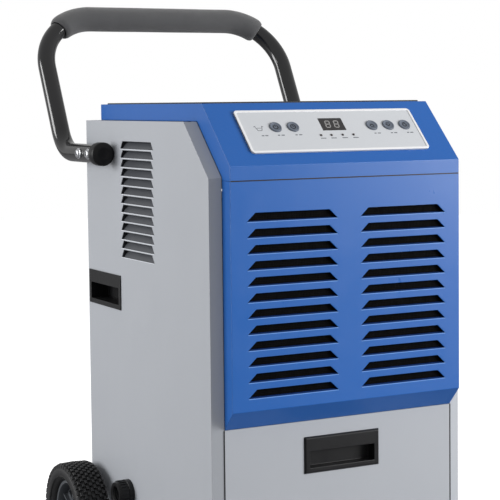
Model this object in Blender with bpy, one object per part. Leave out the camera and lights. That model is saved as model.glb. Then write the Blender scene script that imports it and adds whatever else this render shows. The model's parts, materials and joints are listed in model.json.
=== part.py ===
"""Commercial dehumidifier: sheet-metal cabinet on wheels with a push handle.

The front faces -Y, +X is to the right seen from the front, +Z is up and the floor is z = 0.
Depths are written as the distance back from the front face, heights as metres above the floor.
"""
import math

import bmesh
import bpy
from mathutils import Matrix, Vector

# ---------------------------------------------------------------- driving dimensions (metres)
GAP = 0.0003                    # clearance between pieces that touch
CUT = 0.010                     # how far a cutter runs past the wall it goes through
SHEET = 0.0015                  # folded steel sheet
PLASTIC = 0.0025                # moulded plastic wall

LID_TOP = 0.880                 # lid top above the floor
CABINET_WIDTH = 0.490           # across the two side panels
CABINET_REAR = 0.5615            # depth of the cabinet from the front face
EDGE_WIDTH = 0.022              # front face of each side panel, beside the door
EDGE_SETBACK = 0.005            # how far that face leans back at its outer edge
DOOR_DEPTH = 0.030              # door plane behind the louvred panel's face
LID_SETBACK = 0.0215             # from the cabinet's rear to the lid
PANEL_LIFT = 0.002              # side and rear panels above the cabinet's underside
PANEL_FLANGE = 0.020            # width of the side panels' rear and top flanges
REAR_OVERLAP = 0.012            # rear panel beyond the front's half width
LID_SKIRT = 0.030               # height of the lid's side strip
SLOPE_RUN = 0.101               # the control slope is 45 degrees, so this is its drop too
SHOULDER_STEP = 0.019           # how far the side panels' slope lies behind the lid's
LIP = 0.024                     # vertical lip below the slope
LOUVRE_PANEL_HEIGHT = 0.377
LOUVRE_PANEL_TUCK = 0.033       # height of the folded-back edge under the louvred panel

LOUVRE_ROWS = 12
LOUVRE_PITCH = 0.0263
LOUVRE_HEIGHT = 0.0146
LOUVRE_MARGIN = 0.0295          # from the panel's side to the columns
LOUVRE_INNER = 0.0224           # from the middle to each column
LOUVRE_TAPER = 0.0157           # how far each end draws in at the top edge
LOUVRE_TOP_MARGIN = 0.067       # from the seam to the bottom edge of the top row
FILTER_OVERLAP = 0.012          # air filter beyond the slots
FILTER_THICK = 0.008

VENT_ROWS = 13
VENT_PITCH = 0.0165
VENT_HEIGHT = 0.0138
VENT_LENGTH = 0.146
VENT_SETBACK = 0.164            # from the cabinet's rear
VENT_TAPER = 0.010
VENT_DROP = 0.0807              # from the lid top to the bottom edge of the top row
VENT_INSERT_DEPTH = 0.012
VENT_FRAME = 0.009
VENT_RISE = 0.0055              # climb of the slots through the insert

REAR_SLOT_ROWS = 10
REAR_SLOT_PITCH = 0.020
REAR_SLOT_HEIGHT = 0.008
REAR_SLOT_LENGTH = 0.130
REAR_SLOT_X = 0.085             # middle of each column of rear slots

SIDE_GRIP_LENGTH = 0.145
SIDE_GRIP_SETBACK = 0.011       # from the cabinet's rear
SIDE_GRIP_DROP = 0.317          # from the lid top
SIDE_GRIP_HEIGHT = 0.058
SIDE_GRIP_HOOD = 0.021
GRIP_POCKET_DEPTH = 0.036
GRIP_RIM = 0.006
GRIP_FLANGE = 0.002
GRIP_FLANGE_OVERLAP = 0.003

DOOR_LIFT = 0.008               # from the cabinet's underside to the door
DOOR_FLANGE = 0.014
PULL_HALF_WIDTH = 0.0705
PULL_DROP = 0.0307              # from the door's top edge
PULL_HEIGHT = 0.056
PULL_PROUD = 0.0035
PULL_RIM = 0.004
PULL_POCKET_DEPTH = 0.019
PULL_HOOD = 0.022

PLATE_WIDTH = 0.348
PLATE_LENGTH = 0.097
PLATE_CENTRE = 0.069            # down the slope from its top edge
PLATE_THICK = 0.003
PLATE_CORNER = 0.012
PLATE_OVERLAP = 0.010           # plate beyond the lid's window
BUTTON_RADIUS = 0.0108
BUTTON_X = (-0.1086, -0.0751, 0.0804, 0.1138, 0.1471)
BUTTON_DOWN = 0.0605            # down the slope
BUTTON_PROUD = 0.0018
BUTTON_TRAVEL = 0.0012
BUTTON_COLLAR = 0.0015          # lip that keeps a button behind the plate
DISPLAY_X = 0.003
DISPLAY_DOWN = 0.0555
DISPLAY_WIDTH = 0.046
DISPLAY_LENGTH = 0.029
LAMP_X = (-0.0288, -0.0085, 0.0135, 0.0350)
LAMP_DOWN = 0.081
LAMP_RADIUS = 0.0022
CONTROL_BOX_DEPTH = 0.028

TUBE_RADIUS = 0.0175
FOAM_THICK = 0.0075
CAP_LENGTH = 0.024
CAP_WALL = 0.004
CAP_CLEARANCE = 0.0006          # between an end cap and the side panel
HANDLE_REACH = 0.1375            # the tube's open end ahead of the cabinet's rear
HANDLE_DROP = 0.091             # the bolted part below the lid top
HANDLE_RISE = 0.174             # the grip's axis above the lid top
HANDLE_KNEE_BACK = 0.0575        # where the bolted part and the arm would meet, behind the cabinet
HANDLE_LEAN = math.radians(28.4)
KNEE_RADIUS = 0.075
CORNER_RADIUS = 0.114
GRIP_WRAP = math.radians(40)    # how far the foam follows each corner
BOLT_INSETS = (0.107, 0.0595)   # the bolts ahead of the cabinet's rear
BOLT_RADIUS = 0.004
BOLT_HEAD_RADIUS = 0.0085
BOLT_TAIL = 0.009               # bolt beyond the inside of the side panel
NUT_RADIUS = 0.0065
NUT_HEIGHT = 0.0065
SEAT_BEYOND_BOLT = 0.018        # pad between the tube and the side panel, behind the second bolt
SEAT_HALF_HEIGHT = 0.011

WHEEL_RADIUS = 0.100
WHEEL_INSET = 0.035             # axle ahead of the cabinet's rear
WHEEL_GAP = 0.015               # between a tyre and the side panel
TYRE_WIDTH = 0.060
RIM_RADIUS = 0.066
AXLE_RADIUS = 0.008
AXLE_DROP = 0.012               # axle below the cabinet's underside
BRACKET_INSET = 0.035
BRACKET_THICK = 0.005
BRACKET_HALF = 0.020            # half length of an axle bracket
BRACKET_FOOT = 0.018            # width of its foot
BRACKET_BELOW_AXLE = 0.016

CASTER_INSET = 0.065
CASTER_BACK = 0.080
CASTER_RADIUS = 0.0375
CASTER_WIDTH = 0.024
CASTER_TRAIL = 0.028
CASTER_PIN_RADIUS = 0.004
CASTER_PLATE = 0.003
CASTER_PLATE_HALF = 0.032
CASTER_CHEEK = 0.0025           # fork's side plates
CASTER_CHEEK_GAP = 0.0015       # between a roller and a side plate

PAN_FRONT = 0.050
PAN_WALL = 0.002
PAN_HEIGHT = 0.026
TANK_MARGIN = 0.023             # from the door's side to the tank
TANK_FRONT = 0.050
TANK_LENGTH = 0.290
TANK_LIFT = 0.006               # above the base pan's rim
TANK_BELOW_DOOR = 0.0267        # from the door's top edge to the tank's rim
TANK_WALL = 0.003
FLOAT_X = 0.120
FLOAT_SETBACK = 0.030
FLOAT_PIN_RADIUS = 0.002
FLOAT_ARM = 0.085
FLOAT_DROOP = math.radians(38)
BRACKET_PLATE = 0.003           # float bracket's plate
LUG_OFFSET = 0.016              # its lugs to each side of the float
LUG_THICK = 0.006
LUG_HALF_HEIGHT = 0.010

COIL_MARGIN = 0.041             # from the front's side to the coils
COIL_BELOW_SEAM = 0.033
COIL_BELOW_PANEL = 0.006        # coils' foot below the louvred panel's straight part
EVAPORATOR_SPAN = (0.036, 0.080)   # depths behind the front face
CONDENSER_SPAN = (0.086, 0.135)
TRAY_SPAN = (0.034, 0.140)
TRAY_HEIGHT = 0.022
FAN_RADIUS = 0.142
FAN_BACK = 0.172
FAN_TIP_GAP = 0.006
COMPRESSOR_RADIUS = 0.074
COMPRESSOR_HEIGHT = 0.249
COMPRESSOR_FOOT = 0.011         # flange beyond its shell
COMPRESSOR_X = 0.060
COMPRESSOR_INSET = 0.116        # its axis ahead of the cabinet's rear

DRAIN_RADIUS = 0.025            # hose outlet on the left side
DRAIN_WALL = 0.011
DRAIN_LENGTH = 0.028
DRAIN_BACK = 0.3785
DRAIN_LIFT = 0.056              # above the cabinet's underside
GLAND_X = 0.150
GLAND_LIFT = 0.078
GLAND_RADIUS = 0.0085
GLAND_FLANGE = 0.0055
GLAND_LENGTH = 0.024            # behind the rear panel

# ---------------------------------------------------------------- values worked out from them
HALF_CABINET = CABINET_WIDTH / 2
HALF_FRONT = HALF_CABINET - EDGE_WIDTH
CABINET_FLOOR = WHEEL_RADIUS + AXLE_DROP
SHOULDER = LID_TOP - LID_SKIRT
SLOPE = math.radians(45)
PANEL_SLOPE = LID_SKIRT + SLOPE_RUN + SHOULDER_STEP   # depth plus drop along the side panels' slope
SEAM = LID_TOP - SLOPE_RUN - LIP
LOUVRE_PANEL_BOTTOM = SEAM - LOUVRE_PANEL_HEIGHT
LOUVRE_FIRST = SEAM - LOUVRE_TOP_MARGIN
LOUVRE_OUTER = HALF_FRONT - LOUVRE_MARGIN
DOOR_TOP = LOUVRE_PANEL_BOTTOM - LOUVRE_PANEL_TUCK - GAP
DOOR_BOTTOM = CABINET_FLOOR + DOOR_LIFT
PULL_TOP = DOOR_TOP - PULL_DROP
PULL_BOTTOM = PULL_TOP - PULL_HEIGHT
PULL_POCKET_REAR = DOOR_DEPTH + PULL_POCKET_DEPTH
LID_REAR = CABINET_REAR - LID_SETBACK
VENT_REAR = CABINET_REAR - VENT_SETBACK
VENT_FRONT = VENT_REAR - VENT_LENGTH
VENT_FIRST = LID_TOP - VENT_DROP
SIDE_GRIP_REAR = CABINET_REAR - SIDE_GRIP_SETBACK
SIDE_GRIP_FRONT = SIDE_GRIP_REAR - SIDE_GRIP_LENGTH
SIDE_GRIP_TOP = LID_TOP - SIDE_GRIP_DROP
SIDE_GRIP_BOTTOM = SIDE_GRIP_TOP - SIDE_GRIP_HEIGHT
PLATE_FACE = GAP + PLATE_THICK                        # plate's outer face above the slope
BUTTON_FOOT = -0.003
BOARD_FACE = BUTTON_FOOT - BUTTON_TRAVEL - GAP        # control box below the slope
GRIP_RADIUS = TUBE_RADIUS + FOAM_THICK
CAP_RADIUS = TUBE_RADIUS + GAP + CAP_WALL
HANDLE_X = HALF_CABINET + CAP_CLEARANCE + CAP_RADIUS
HANDLE_FRONT = CABINET_REAR - HANDLE_REACH
HANDLE_LOW = LID_TOP - HANDLE_DROP
HANDLE_HIGH = LID_TOP + HANDLE_RISE
HANDLE_KNEE = CABINET_REAR + HANDLE_KNEE_BACK
BOLT_BACK = tuple(CABINET_REAR - inset for inset in BOLT_INSETS)
DEPTH = HANDLE_KNEE + (HANDLE_HIGH - HANDLE_LOW) * math.tan(HANDLE_LEAN) + GRIP_RADIUS
WHEEL_BACK = CABINET_REAR - WHEEL_INSET
WHEEL_INNER = HALF_CABINET + WHEEL_GAP
AXLE_END = WHEEL_INNER + TYRE_WIDTH + 0.004
BRACKET_X = HALF_CABINET - BRACKET_INSET
CASTER_X = HALF_CABINET - CASTER_INSET
TANK_HALF = HALF_FRONT - TANK_MARGIN
TANK_REAR = TANK_FRONT + TANK_LENGTH
TANK_BOTTOM = CABINET_FLOOR + PAN_HEIGHT + TANK_LIFT
TANK_TOP = DOOR_TOP - TANK_BELOW_DOOR
FLOAT_PIVOT = (TANK_REAR - FLOAT_SETBACK, TANK_TOP - 0.016)
COIL_HALF = HALF_FRONT - COIL_MARGIN
COIL_LOW = LOUVRE_PANEL_BOTTOM - COIL_BELOW_PANEL
COIL_HIGH = SEAM - COIL_BELOW_SEAM
FAN_HEIGHT = (COIL_LOW + COIL_HIGH) / 2 + 0.003
INNER_HALF = HALF_FRONT - TANK_MARGIN                 # shroud and drip tray, in line with the tank
DRAIN_HEIGHT = CABINET_FLOOR + DRAIN_LIFT
GLAND_HEIGHT = CABINET_FLOOR + GLAND_LIFT


def back(depth):
    """World Y of a distance back from the front face."""
    return depth - DEPTH / 2


def down_slope(x, down, out):
    """World position on the control slope: down it from its top edge and out along its normal."""
    depth = SLOPE_RUN - (down + out) * math.sin(SLOPE)
    return Vector((x, back(depth), LID_TOP - (down - out) * math.cos(SLOPE)))


# ---------------------------------------------------------------- scene and mesh helpers
for old in list(bpy.data.objects):
    bpy.data.objects.remove(old, do_unlink=True)


BOX_FACES = [(0, 2, 3, 1), (4, 5, 7, 6), (0, 1, 5, 4), (2, 6, 7, 3), (0, 4, 6, 2), (1, 3, 7, 5)]
# where an outline's two directions and the direction across it go, for each axis it can be drawn along
ON_AXIS = {
    "X": lambda a, b, c: (c, a, b),
    "Y": lambda a, b, c: (a, c, b),
    "Z": lambda a, b, c: (a, b, c),
}


def box(x, y, z):
    """Closed box between two values along each axis."""
    return [Vector((i, j, k)) for k in z for j in y for i in x], BOX_FACES


def prism(outline, axis, span):
    """Closed prism: an outline in the plane across the axis, drawn out along it."""
    place = ON_AXIS[axis]
    count = len(outline)
    verts = [Vector(place(a, b, c)) for c in span for a, b in outline]
    faces = [tuple(range(count)), tuple(range(2 * count - 1, count - 1, -1))]
    faces += [(i, i + count, (i + 1) % count + count, (i + 1) % count) for i in range(count)]
    return verts, faces


def lathe(profile, axis, centre, segments=32, closed=False):
    """Solid of revolution. The profile is (radius, distance along the axis) points."""
    place = ON_AXIS[axis]
    verts, faces, rings = [], [], []
    for radius, along in profile:
        if radius == 0:
            rings.append([len(verts)] * segments)
            verts.append(Vector(place(0, 0, along)) + Vector(centre))
            continue
        rings.append(list(range(len(verts), len(verts) + segments)))
        for step in range(segments):
            turn = math.tau * step / segments
            spot = place(radius * math.cos(turn), radius * math.sin(turn), along)
            verts.append(Vector(spot) + Vector(centre))
    pairs = list(zip(rings, rings[1:]))
    if closed:
        pairs.append((rings[-1], rings[0]))
    for low, high in pairs:
        for step in range(segments):
            other = (step + 1) % segments
            corners = dict.fromkeys((low[step], low[other], high[other], high[step]))
            faces.append(tuple(corners))
    return verts, faces


def cylinder(radius, span, axis, centre, segments=32):
    return lathe([(0, span[0]), (radius, span[0]), (radius, span[1]), (0, span[1])], axis, centre, segments)


def ring(inner, outer, span, axis, centre, segments=32):
    profile = [(inner, span[0]), (outer, span[0]), (outer, span[1]), (inner, span[1])]
    return lathe(profile, axis, centre, segments, closed=True)


def frames_along(path):
    """Side and up vectors across a path, carried along it without twist."""
    tangents = []
    for place, spot in enumerate(path):
        before = path[max(place - 1, 0)]
        after = path[min(place + 1, len(path) - 1)]
        tangents.append((after - before).normalized())
    side = tangents[0].orthogonal().normalized()
    frames = []
    for tangent in tangents:
        side = (side - tangent * side.dot(tangent)).normalized()
        frames.append((side, tangent.cross(side)))
    return frames


def swept(path, sections, segments=20):
    """Solid swept along a path. Each section is (radius, place on the path), ends closed if radius is 0."""
    frames = frames_along(path)
    verts, faces, rings = [], [], []
    for radius, place in sections:
        side, up = frames[place]
        if radius == 0:
            rings.append([len(verts)] * segments)
            verts.append(path[place].copy())
            continue
        rings.append(list(range(len(verts), len(verts) + segments)))
        for step in range(segments):
            turn = math.tau * step / segments
            verts.append(path[place] + side * radius * math.cos(turn) + up * radius * math.sin(turn))
    pairs = list(zip(rings, rings[1:]))
    if sections[0][0] != 0:
        pairs.append((rings[-1], rings[0]))
    for low, high in pairs:
        for step in range(segments):
            other = (step + 1) % segments
            corners = dict.fromkeys((low[step], low[other], high[other], high[step]))
            faces.append(tuple(corners))
    return verts, faces


def arc(centre, first, second, radius, angles):
    """Points on an arc: centre + radius * (first * cos + second * sin)."""
    return [centre + first * radius * math.cos(a) + second * radius * math.sin(a) for a in angles]


def steps(start, end, count):
    return [start + (end - start) * i / count for i in range(count + 1)]


def turned(part, angle, axis, centre):
    verts, faces = part
    spin = Matrix.Rotation(angle, 3, axis)
    middle = Vector(centre)
    return [spin @ (v - middle) + middle for v in verts], faces


def on_slope(part):
    """Turns a part drawn flat (X across, Y up the slope from its top edge, Z outwards) onto the slope."""
    verts, faces = part
    return [down_slope(v.x, -v.y, v.z) for v in verts], faces


def mirrored(part, side):
    """The part as drawn for the right side, or its mirror image for the left."""
    verts, faces = part
    if side > 0:
        return part
    return [Vector((-v.x, v.y, v.z)) for v in verts], [tuple(reversed(f)) for f in faces]


def material(name, colour, roughness, metallic=0.0):
    made = bpy.data.materials.new(name)
    made.use_nodes = True
    shader = made.node_tree.nodes["Principled BSDF"]
    shader.inputs["Base Color"].default_value = (*colour, 1)
    shader.inputs["Roughness"].default_value = roughness
    shader.inputs["Metallic"].default_value = metallic
    return made


def mesh_from(name, parts, origin):
    mesh = bpy.data.meshes.new(name)
    bm = bmesh.new()
    for verts, faces in parts:
        made = [bm.verts.new(v - Vector(origin)) for v in verts]
        for face in faces:
            bm.faces.new([made[i] for i in face])
    bmesh.ops.recalc_face_normals(bm, faces=bm.faces)
    bm.to_mesh(mesh)
    bm.free()
    return mesh


def piece(name, parts, look, origin=(0, 0, 0), smooth=False):
    """A named node of the model."""
    made = bpy.data.objects.new(name, mesh_from(name, parts, origin))
    bpy.context.scene.collection.objects.link(made)
    made.location = origin
    colour, roughness, metallic = look
    made.data.materials.append(material(name, colour, roughness, metallic))
    if smooth:
        made.data.shade_smooth()
        made.data.set_sharp_from_angle(angle=math.radians(35))
    return made


def combine(target, parts, operation):
    """Cuts the parts out of the target, or joins them to it."""
    name = f"{target.name}_{operation.lower()}"
    tool = bpy.data.objects.new(name, mesh_from(name, parts, (0, 0, 0)))
    bpy.context.scene.collection.objects.link(tool)
    tool.hide_render = True
    tool.display_type = "WIRE"
    change = target.modifiers.new(operation.lower(), "BOOLEAN")
    change.operation = operation
    change.object = tool
    return tool


def fold(name, verts, faces, thickness, look):
    """A sheet or moulding: an open skin thickened towards the cabinet's middle."""
    made = piece(name, [([Vector(v) for v in verts], faces)], look)
    largest = max(made.data.polygons, key=lambda p: p.area)
    middle = Vector((0, 0, LID_TOP / 2))
    if (largest.center - middle).dot(largest.normal) < 0:
        made.data.flip_normals()
    skin = made.modifiers.new("skin", "SOLIDIFY")
    skin.thickness = thickness
    skin.offset = -1
    skin.solidify_mode = "NON_MANIFOLD"
    skin.nonmanifold_thickness_mode = "CONSTRAINTS"
    return made


GREY_PAINT = ((0.50, 0.53, 0.56), 0.42, 0.0)
BLUE_PLASTIC = ((0.045, 0.16, 0.47), 0.35, 0.0)
BLACK_PLASTIC = ((0.010, 0.010, 0.011), 0.45, 0.0)
BLACK_GLOSS = ((0.008, 0.008, 0.009), 0.18, 0.0)
DARK_PLASTIC = ((0.06, 0.065, 0.075), 0.5, 0.0)
STEEL = ((0.60, 0.61, 0.63), 0.28, 1.0)
GALVANISED = ((0.48, 0.50, 0.52), 0.45, 1.0)
ALUMINIUM = ((0.70, 0.72, 0.74), 0.35, 1.0)
RUBBER = ((0.016, 0.016, 0.017), 0.75, 0.0)
FOAM = ((0.07, 0.07, 0.073), 0.9, 0.0)
FILTER_BLACK = ((0.012, 0.012, 0.013), 0.85, 0.0)
FLOAT_ORANGE = ((0.75, 0.35, 0.06), 0.5, 0.0)
CLEAR_PLASTIC = ((0.62, 0.66, 0.69), 0.25, 0.0)
PLATE_GREY = ((0.68, 0.70, 0.73), 0.38, 0.0)
BUTTON_GREY = ((0.20, 0.24, 0.31), 0.4, 0.0)
DISPLAY_BLACK = ((0.02, 0.02, 0.022), 0.12, 0.0)
LAMP_TINT = ((0.16, 0.14, 0.14), 0.25, 0.0)


# ---------------------------------------------------------------- cabinet
def side_panel(name, side):
    """Folded side panel with a front face beside the door, a return flange, and rear and top flanges."""
    out = HALF_CABINET
    edge = HALF_FRONT + GAP
    low = CABINET_FLOOR + PANEL_LIFT
    crest = SHOULDER
    line = PANEL_SLOPE

    def bend(inset, x):
        """The front outline, set back by inset across its faces."""
        slope_line = line + inset * math.sqrt(2)
        near = DOOR_DEPTH + inset
        return [
            (x, near, low),
            (x, near, LID_TOP - (slope_line - near)),
            (x, slope_line - (LID_TOP - crest), crest),
        ]

    nose = bend(0.0, edge)
    outer = bend(EDGE_SETBACK, out)
    inner = bend(DOOR_FLANGE, edge)
    flange = PANEL_FLANGE
    verts = inner + nose + outer + [
        (out, CABINET_REAR, low),
        (out, CABINET_REAR, crest),
        (out - flange, CABINET_REAR, low + flange),
        (out - flange, CABINET_REAR, crest - flange),
        (edge + SHEET * 2, CABINET_REAR - flange, crest),
        (edge + SHEET * 2, outer[2][1] + flange, crest),
    ]
    faces = [
        (0, 1, 4, 3), (1, 2, 5, 4), (3, 4, 7, 6), (4, 5, 8, 7),
        (6, 7, 8, 10, 9), (9, 10, 12, 11), (10, 8, 14, 13),
    ]
    placed = [(side * x, back(y), z) for x, y, z in verts]
    if side < 0:
        faces = [tuple(reversed(f)) for f in faces]
    panel = fold(name, placed, faces, SHEET, GREY_PAINT)
    seat = box((out - SHEET / 2, HANDLE_X - TUBE_RADIUS - GAP),
               (back(BOLT_BACK[0] - BOLT_HEAD_RADIUS), back(BOLT_BACK[1] + SEAT_BEYOND_BOLT)),
               (HANDLE_LOW - SEAT_HALF_HEIGHT, HANDLE_LOW + SEAT_HALF_HEIGHT))
    combine(panel, [mirrored(seat, side)], "UNION")
    through = (out - CUT, out + CUT)
    cutters = [vent_slot(row, through) for row in range(VENT_ROWS)]
    grip_y = (back(SIDE_GRIP_FRONT), back(SIDE_GRIP_REAR))
    cutters.append(box(through, grip_y, (SIDE_GRIP_BOTTOM, SIDE_GRIP_TOP)))
    for depth in BOLT_BACK:
        spot = (0, back(depth), HANDLE_LOW)
        cutters.append(cylinder(BOLT_RADIUS + GAP, through, "X", spot, 16))
    combine(panel, [mirrored(c, side) for c in cutters], "DIFFERENCE")
    return panel


def vent_slot(row, span):
    """Tapered outlet slot of the side vents."""
    low = VENT_FIRST - row * VENT_PITCH
    outline = [
        (back(VENT_FRONT), low),
        (back(VENT_REAR), low),
        (back(VENT_REAR - VENT_TAPER), low + VENT_HEIGHT),
        (back(VENT_FRONT + VENT_TAPER), low + VENT_HEIGHT),
    ]
    return prism(outline, "X", span)


def vent_insert(name, side):
    """Dark moulded insert behind the side vents, with slanted blades."""
    face = HALF_CABINET - SHEET - GAP
    low = VENT_FIRST - (VENT_ROWS - 1) * VENT_PITCH - VENT_FRAME
    high = VENT_FIRST + VENT_HEIGHT + VENT_FRAME
    block = box((face - VENT_INSERT_DEPTH, face),
                (back(VENT_FRONT - VENT_FRAME), back(VENT_REAR + VENT_FRAME)), (low, high))
    insert = piece(name, [mirrored(block, side)], DARK_PLASTIC)
    outer_x = face + 0.001
    inner_x = face - VENT_INSERT_DEPTH - 0.001
    y_span = (back(VENT_FRONT + VENT_TAPER), back(VENT_REAR - VENT_TAPER))
    slots = []
    for row in range(VENT_ROWS):
        foot = VENT_FIRST - row * VENT_PITCH
        outline = [
            (outer_x, foot + VENT_HEIGHT * 0.05),
            (outer_x, foot + VENT_HEIGHT * 0.60),
            (inner_x, foot + VENT_HEIGHT * 0.60 + VENT_RISE),
            (inner_x, foot + VENT_HEIGHT * 0.05 + VENT_RISE),
        ]
        slots.append(prism(outline, "Y", y_span))
    combine(insert, [mirrored(s, side) for s in slots], "DIFFERENCE")
    return insert


def side_grip(name, side):
    """Moulded finger pocket set into the side panel, hooded over its upper part."""
    face = HALF_CABINET + GAP
    deep = face - GRIP_POCKET_DEPTH
    y_span = (SIDE_GRIP_FRONT, SIDE_GRIP_REAR)
    body = box((deep, face), (back(y_span[0] + GAP), back(y_span[1] - GAP)),
               (SIDE_GRIP_BOTTOM + GAP, SIDE_GRIP_TOP - GAP))
    grip = piece(name, [mirrored(body, side)], BLACK_PLASTIC)
    edge = GRIP_FLANGE_OVERLAP
    rim = box((face - GAP / 2, face + GRIP_FLANGE), (back(y_span[0] - edge), back(y_span[1] + edge)),
              (SIDE_GRIP_BOTTOM - edge, SIDE_GRIP_TOP + edge))
    combine(grip, [mirrored(rim, side)], "UNION")
    rear_wall = deep + PLASTIC
    y_cut = (back(y_span[0] + GRIP_RIM), back(y_span[1] - GRIP_RIM))
    hood_top = SIDE_GRIP_TOP - SIDE_GRIP_HOOD
    inside = [
        (face + GRIP_FLANGE + CUT, SIDE_GRIP_BOTTOM + GRIP_RIM),
        (face + GRIP_FLANGE + CUT, hood_top),
        (face - PLASTIC, hood_top),
        (face - PLASTIC, SIDE_GRIP_TOP - GRIP_RIM / 2),
        (rear_wall, SIDE_GRIP_TOP - GRIP_RIM / 2),
        (rear_wall, SIDE_GRIP_BOTTOM + GRIP_RIM),
    ]
    combine(grip, [mirrored(prism(inside, "Y", y_cut), side)], "DIFFERENCE")
    return grip


def base_pan():
    x = HALF_CABINET - SHEET - GAP
    rear = CABINET_REAR - SHEET - GAP
    outer = box((-x, x), (back(PAN_FRONT), back(rear)), (CABINET_FLOOR, CABINET_FLOOR + PAN_HEIGHT))
    pan = piece("base_pan", [outer], GALVANISED)
    hollow = box((-x + PAN_WALL, x - PAN_WALL), (back(PAN_FRONT + PAN_WALL), back(rear - PAN_WALL)),
                 (CABINET_FLOOR + PAN_WALL, CABINET_FLOOR + PAN_HEIGHT * 2))
    combine(pan, [hollow], "DIFFERENCE")
    return pan


def rear_panel():
    """Rear sheet with a flange that closes the strip behind the lid."""
    x = HALF_FRONT - GAP
    rear = CABINET_REAR + GAP + SHEET
    wide = x + REAR_OVERLAP
    low = CABINET_FLOOR + PANEL_LIFT
    verts = [
        (-wide, back(rear), low),
        (wide, back(rear), low),
        (wide, back(rear), SHOULDER),
        (-wide, back(rear), SHOULDER),
        (-x, back(rear), SHOULDER),
        (x, back(rear), SHOULDER),
        (x, back(LID_REAR + GAP), SHOULDER),
        (-x, back(LID_REAR + GAP), SHOULDER),
    ]
    faces = [(0, 1, 2, 5, 4, 3), (4, 5, 6, 7)]
    panel = fold("rear_panel", verts, faces, SHEET, GREY_PAINT)
    through = (back(rear - CUT), back(rear + CUT))
    slots = []
    for side in (-1, 1):
        middle = side * REAR_SLOT_X
        for row in range(REAR_SLOT_ROWS):
            foot = FAN_HEIGHT - 0.030 + row * REAR_SLOT_PITCH
            x_span = (middle - REAR_SLOT_LENGTH / 2, middle + REAR_SLOT_LENGTH / 2)
            slots.append(box(x_span, through, (foot, foot + REAR_SLOT_HEIGHT)))
    slots.append(cylinder(GLAND_RADIUS + GAP, through, "Y", (GLAND_X, 0, GLAND_HEIGHT), 24))
    combine(panel, slots, "DIFFERENCE")
    return panel


def top_lid():
    """Moulded lid: flat top, side strips, control slope and front lip."""
    x = HALF_FRONT
    outline = [
        (LID_REAR, LID_TOP), (SLOPE_RUN, LID_TOP), (0.0, LID_TOP - SLOPE_RUN), (0.0, SEAM),
        (DOOR_DEPTH, SEAM), (DOOR_DEPTH, LID_TOP - PANEL_SLOPE + DOOR_DEPTH + GAP),
        (PANEL_SLOPE - LID_SKIRT, SHOULDER + GAP), (LID_REAR, SHOULDER + GAP),
    ]
    verts = [(s * x, back(y), z) for s in (-1, 1) for y, z in outline]
    faces = [
        tuple(range(8)), tuple(range(15, 7, -1)),
        (0, 8, 9, 1), (1, 9, 10, 2), (2, 10, 11, 3), (0, 7, 15, 8), (3, 11, 12, 4),
    ]
    lid = fold("top_lid", verts, faces, PLASTIC, BLUE_PLASTIC)
    half_x = PLATE_WIDTH / 2 - PLATE_OVERLAP
    half_y = PLATE_LENGTH / 2 - PLATE_OVERLAP
    window = box((-half_x, half_x), (-PLATE_CENTRE - half_y, -PLATE_CENTRE + half_y), (-CUT, CUT))
    combine(lid, [on_slope(window)], "DIFFERENCE")
    return lid


def front_louvre_panel():
    """Moulded louvred panel that stands proud of the door."""
    x = HALF_FRONT
    top = SEAM - GAP
    low = LOUVRE_PANEL_BOTTOM
    outline = [(0.0, top), (0.0, low), (DOOR_DEPTH, low - LOUVRE_PANEL_TUCK), (DOOR_DEPTH, top)]
    verts = [(s * x, back(y), z) for s in (-1, 1) for y, z in outline]
    faces = [(0, 1, 2, 3), (7, 6, 5, 4), (0, 4, 5, 1), (1, 5, 6, 2), (0, 3, 7, 4)]
    panel = fold("front_louvre_panel", verts, faces, PLASTIC, BLUE_PLASTIC)
    slots = []
    for side in (-1, 1):
        for row in range(LOUVRE_ROWS):
            foot = LOUVRE_FIRST - row * LOUVRE_PITCH
            outline = [
                (side * LOUVRE_INNER, foot), (side * LOUVRE_OUTER, foot),
                (side * (LOUVRE_OUTER - LOUVRE_TAPER), foot + LOUVRE_HEIGHT),
                (side * (LOUVRE_INNER + LOUVRE_TAPER), foot + LOUVRE_HEIGHT),
            ]
            slots.append(prism(outline, "Y", (back(-CUT), back(CUT))))
    combine(panel, slots, "DIFFERENCE")
    return panel


def air_filter():
    wide = LOUVRE_OUTER + FILTER_OVERLAP
    low = LOUVRE_FIRST - (LOUVRE_ROWS - 1) * LOUVRE_PITCH - FILTER_OVERLAP
    high = LOUVRE_FIRST + LOUVRE_HEIGHT + FILTER_OVERLAP
    slab = box((-wide, wide), (back(PLASTIC + GAP), back(PLASTIC + FILTER_THICK)), (low, high))
    return piece("air_filter", [slab], FILTER_BLACK)


# ---------------------------------------------------------------- controls
def control_plate():
    half_x = PLATE_WIDTH / 2
    half_y = PLATE_LENGTH / 2
    corner = PLATE_CORNER
    outline = []
    for cx, cy, start in ((1, 1, 0), (-1, 1, 90), (-1, -1, 180), (1, -1, 270)):
        for turn in steps(math.radians(start), math.radians(start + 90), 4):
            outline.append((cx * (half_x - corner) + corner * math.cos(turn),
                            cy * (half_y - corner) + corner * math.sin(turn) - PLATE_CENTRE))
    plate = piece("control_plate", [on_slope(prism(outline, "Z", (GAP, PLATE_FACE)))], PLATE_GREY)
    through = (-0.002, 0.008)
    holes = [cylinder(BUTTON_RADIUS + GAP, through, "Z", (x, -BUTTON_DOWN, 0), 24) for x in BUTTON_X]
    holes += [cylinder(LAMP_RADIUS + GAP, through, "Z", (x, -LAMP_DOWN, 0), 12) for x in LAMP_X]
    holes.append(box((DISPLAY_X - DISPLAY_WIDTH / 2, DISPLAY_X + DISPLAY_WIDTH / 2),
                     (-DISPLAY_DOWN - DISPLAY_LENGTH / 2, -DISPLAY_DOWN + DISPLAY_LENGTH / 2), through))
    combine(plate, [on_slope(h) for h in holes], "DIFFERENCE")
    return plate


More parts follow.
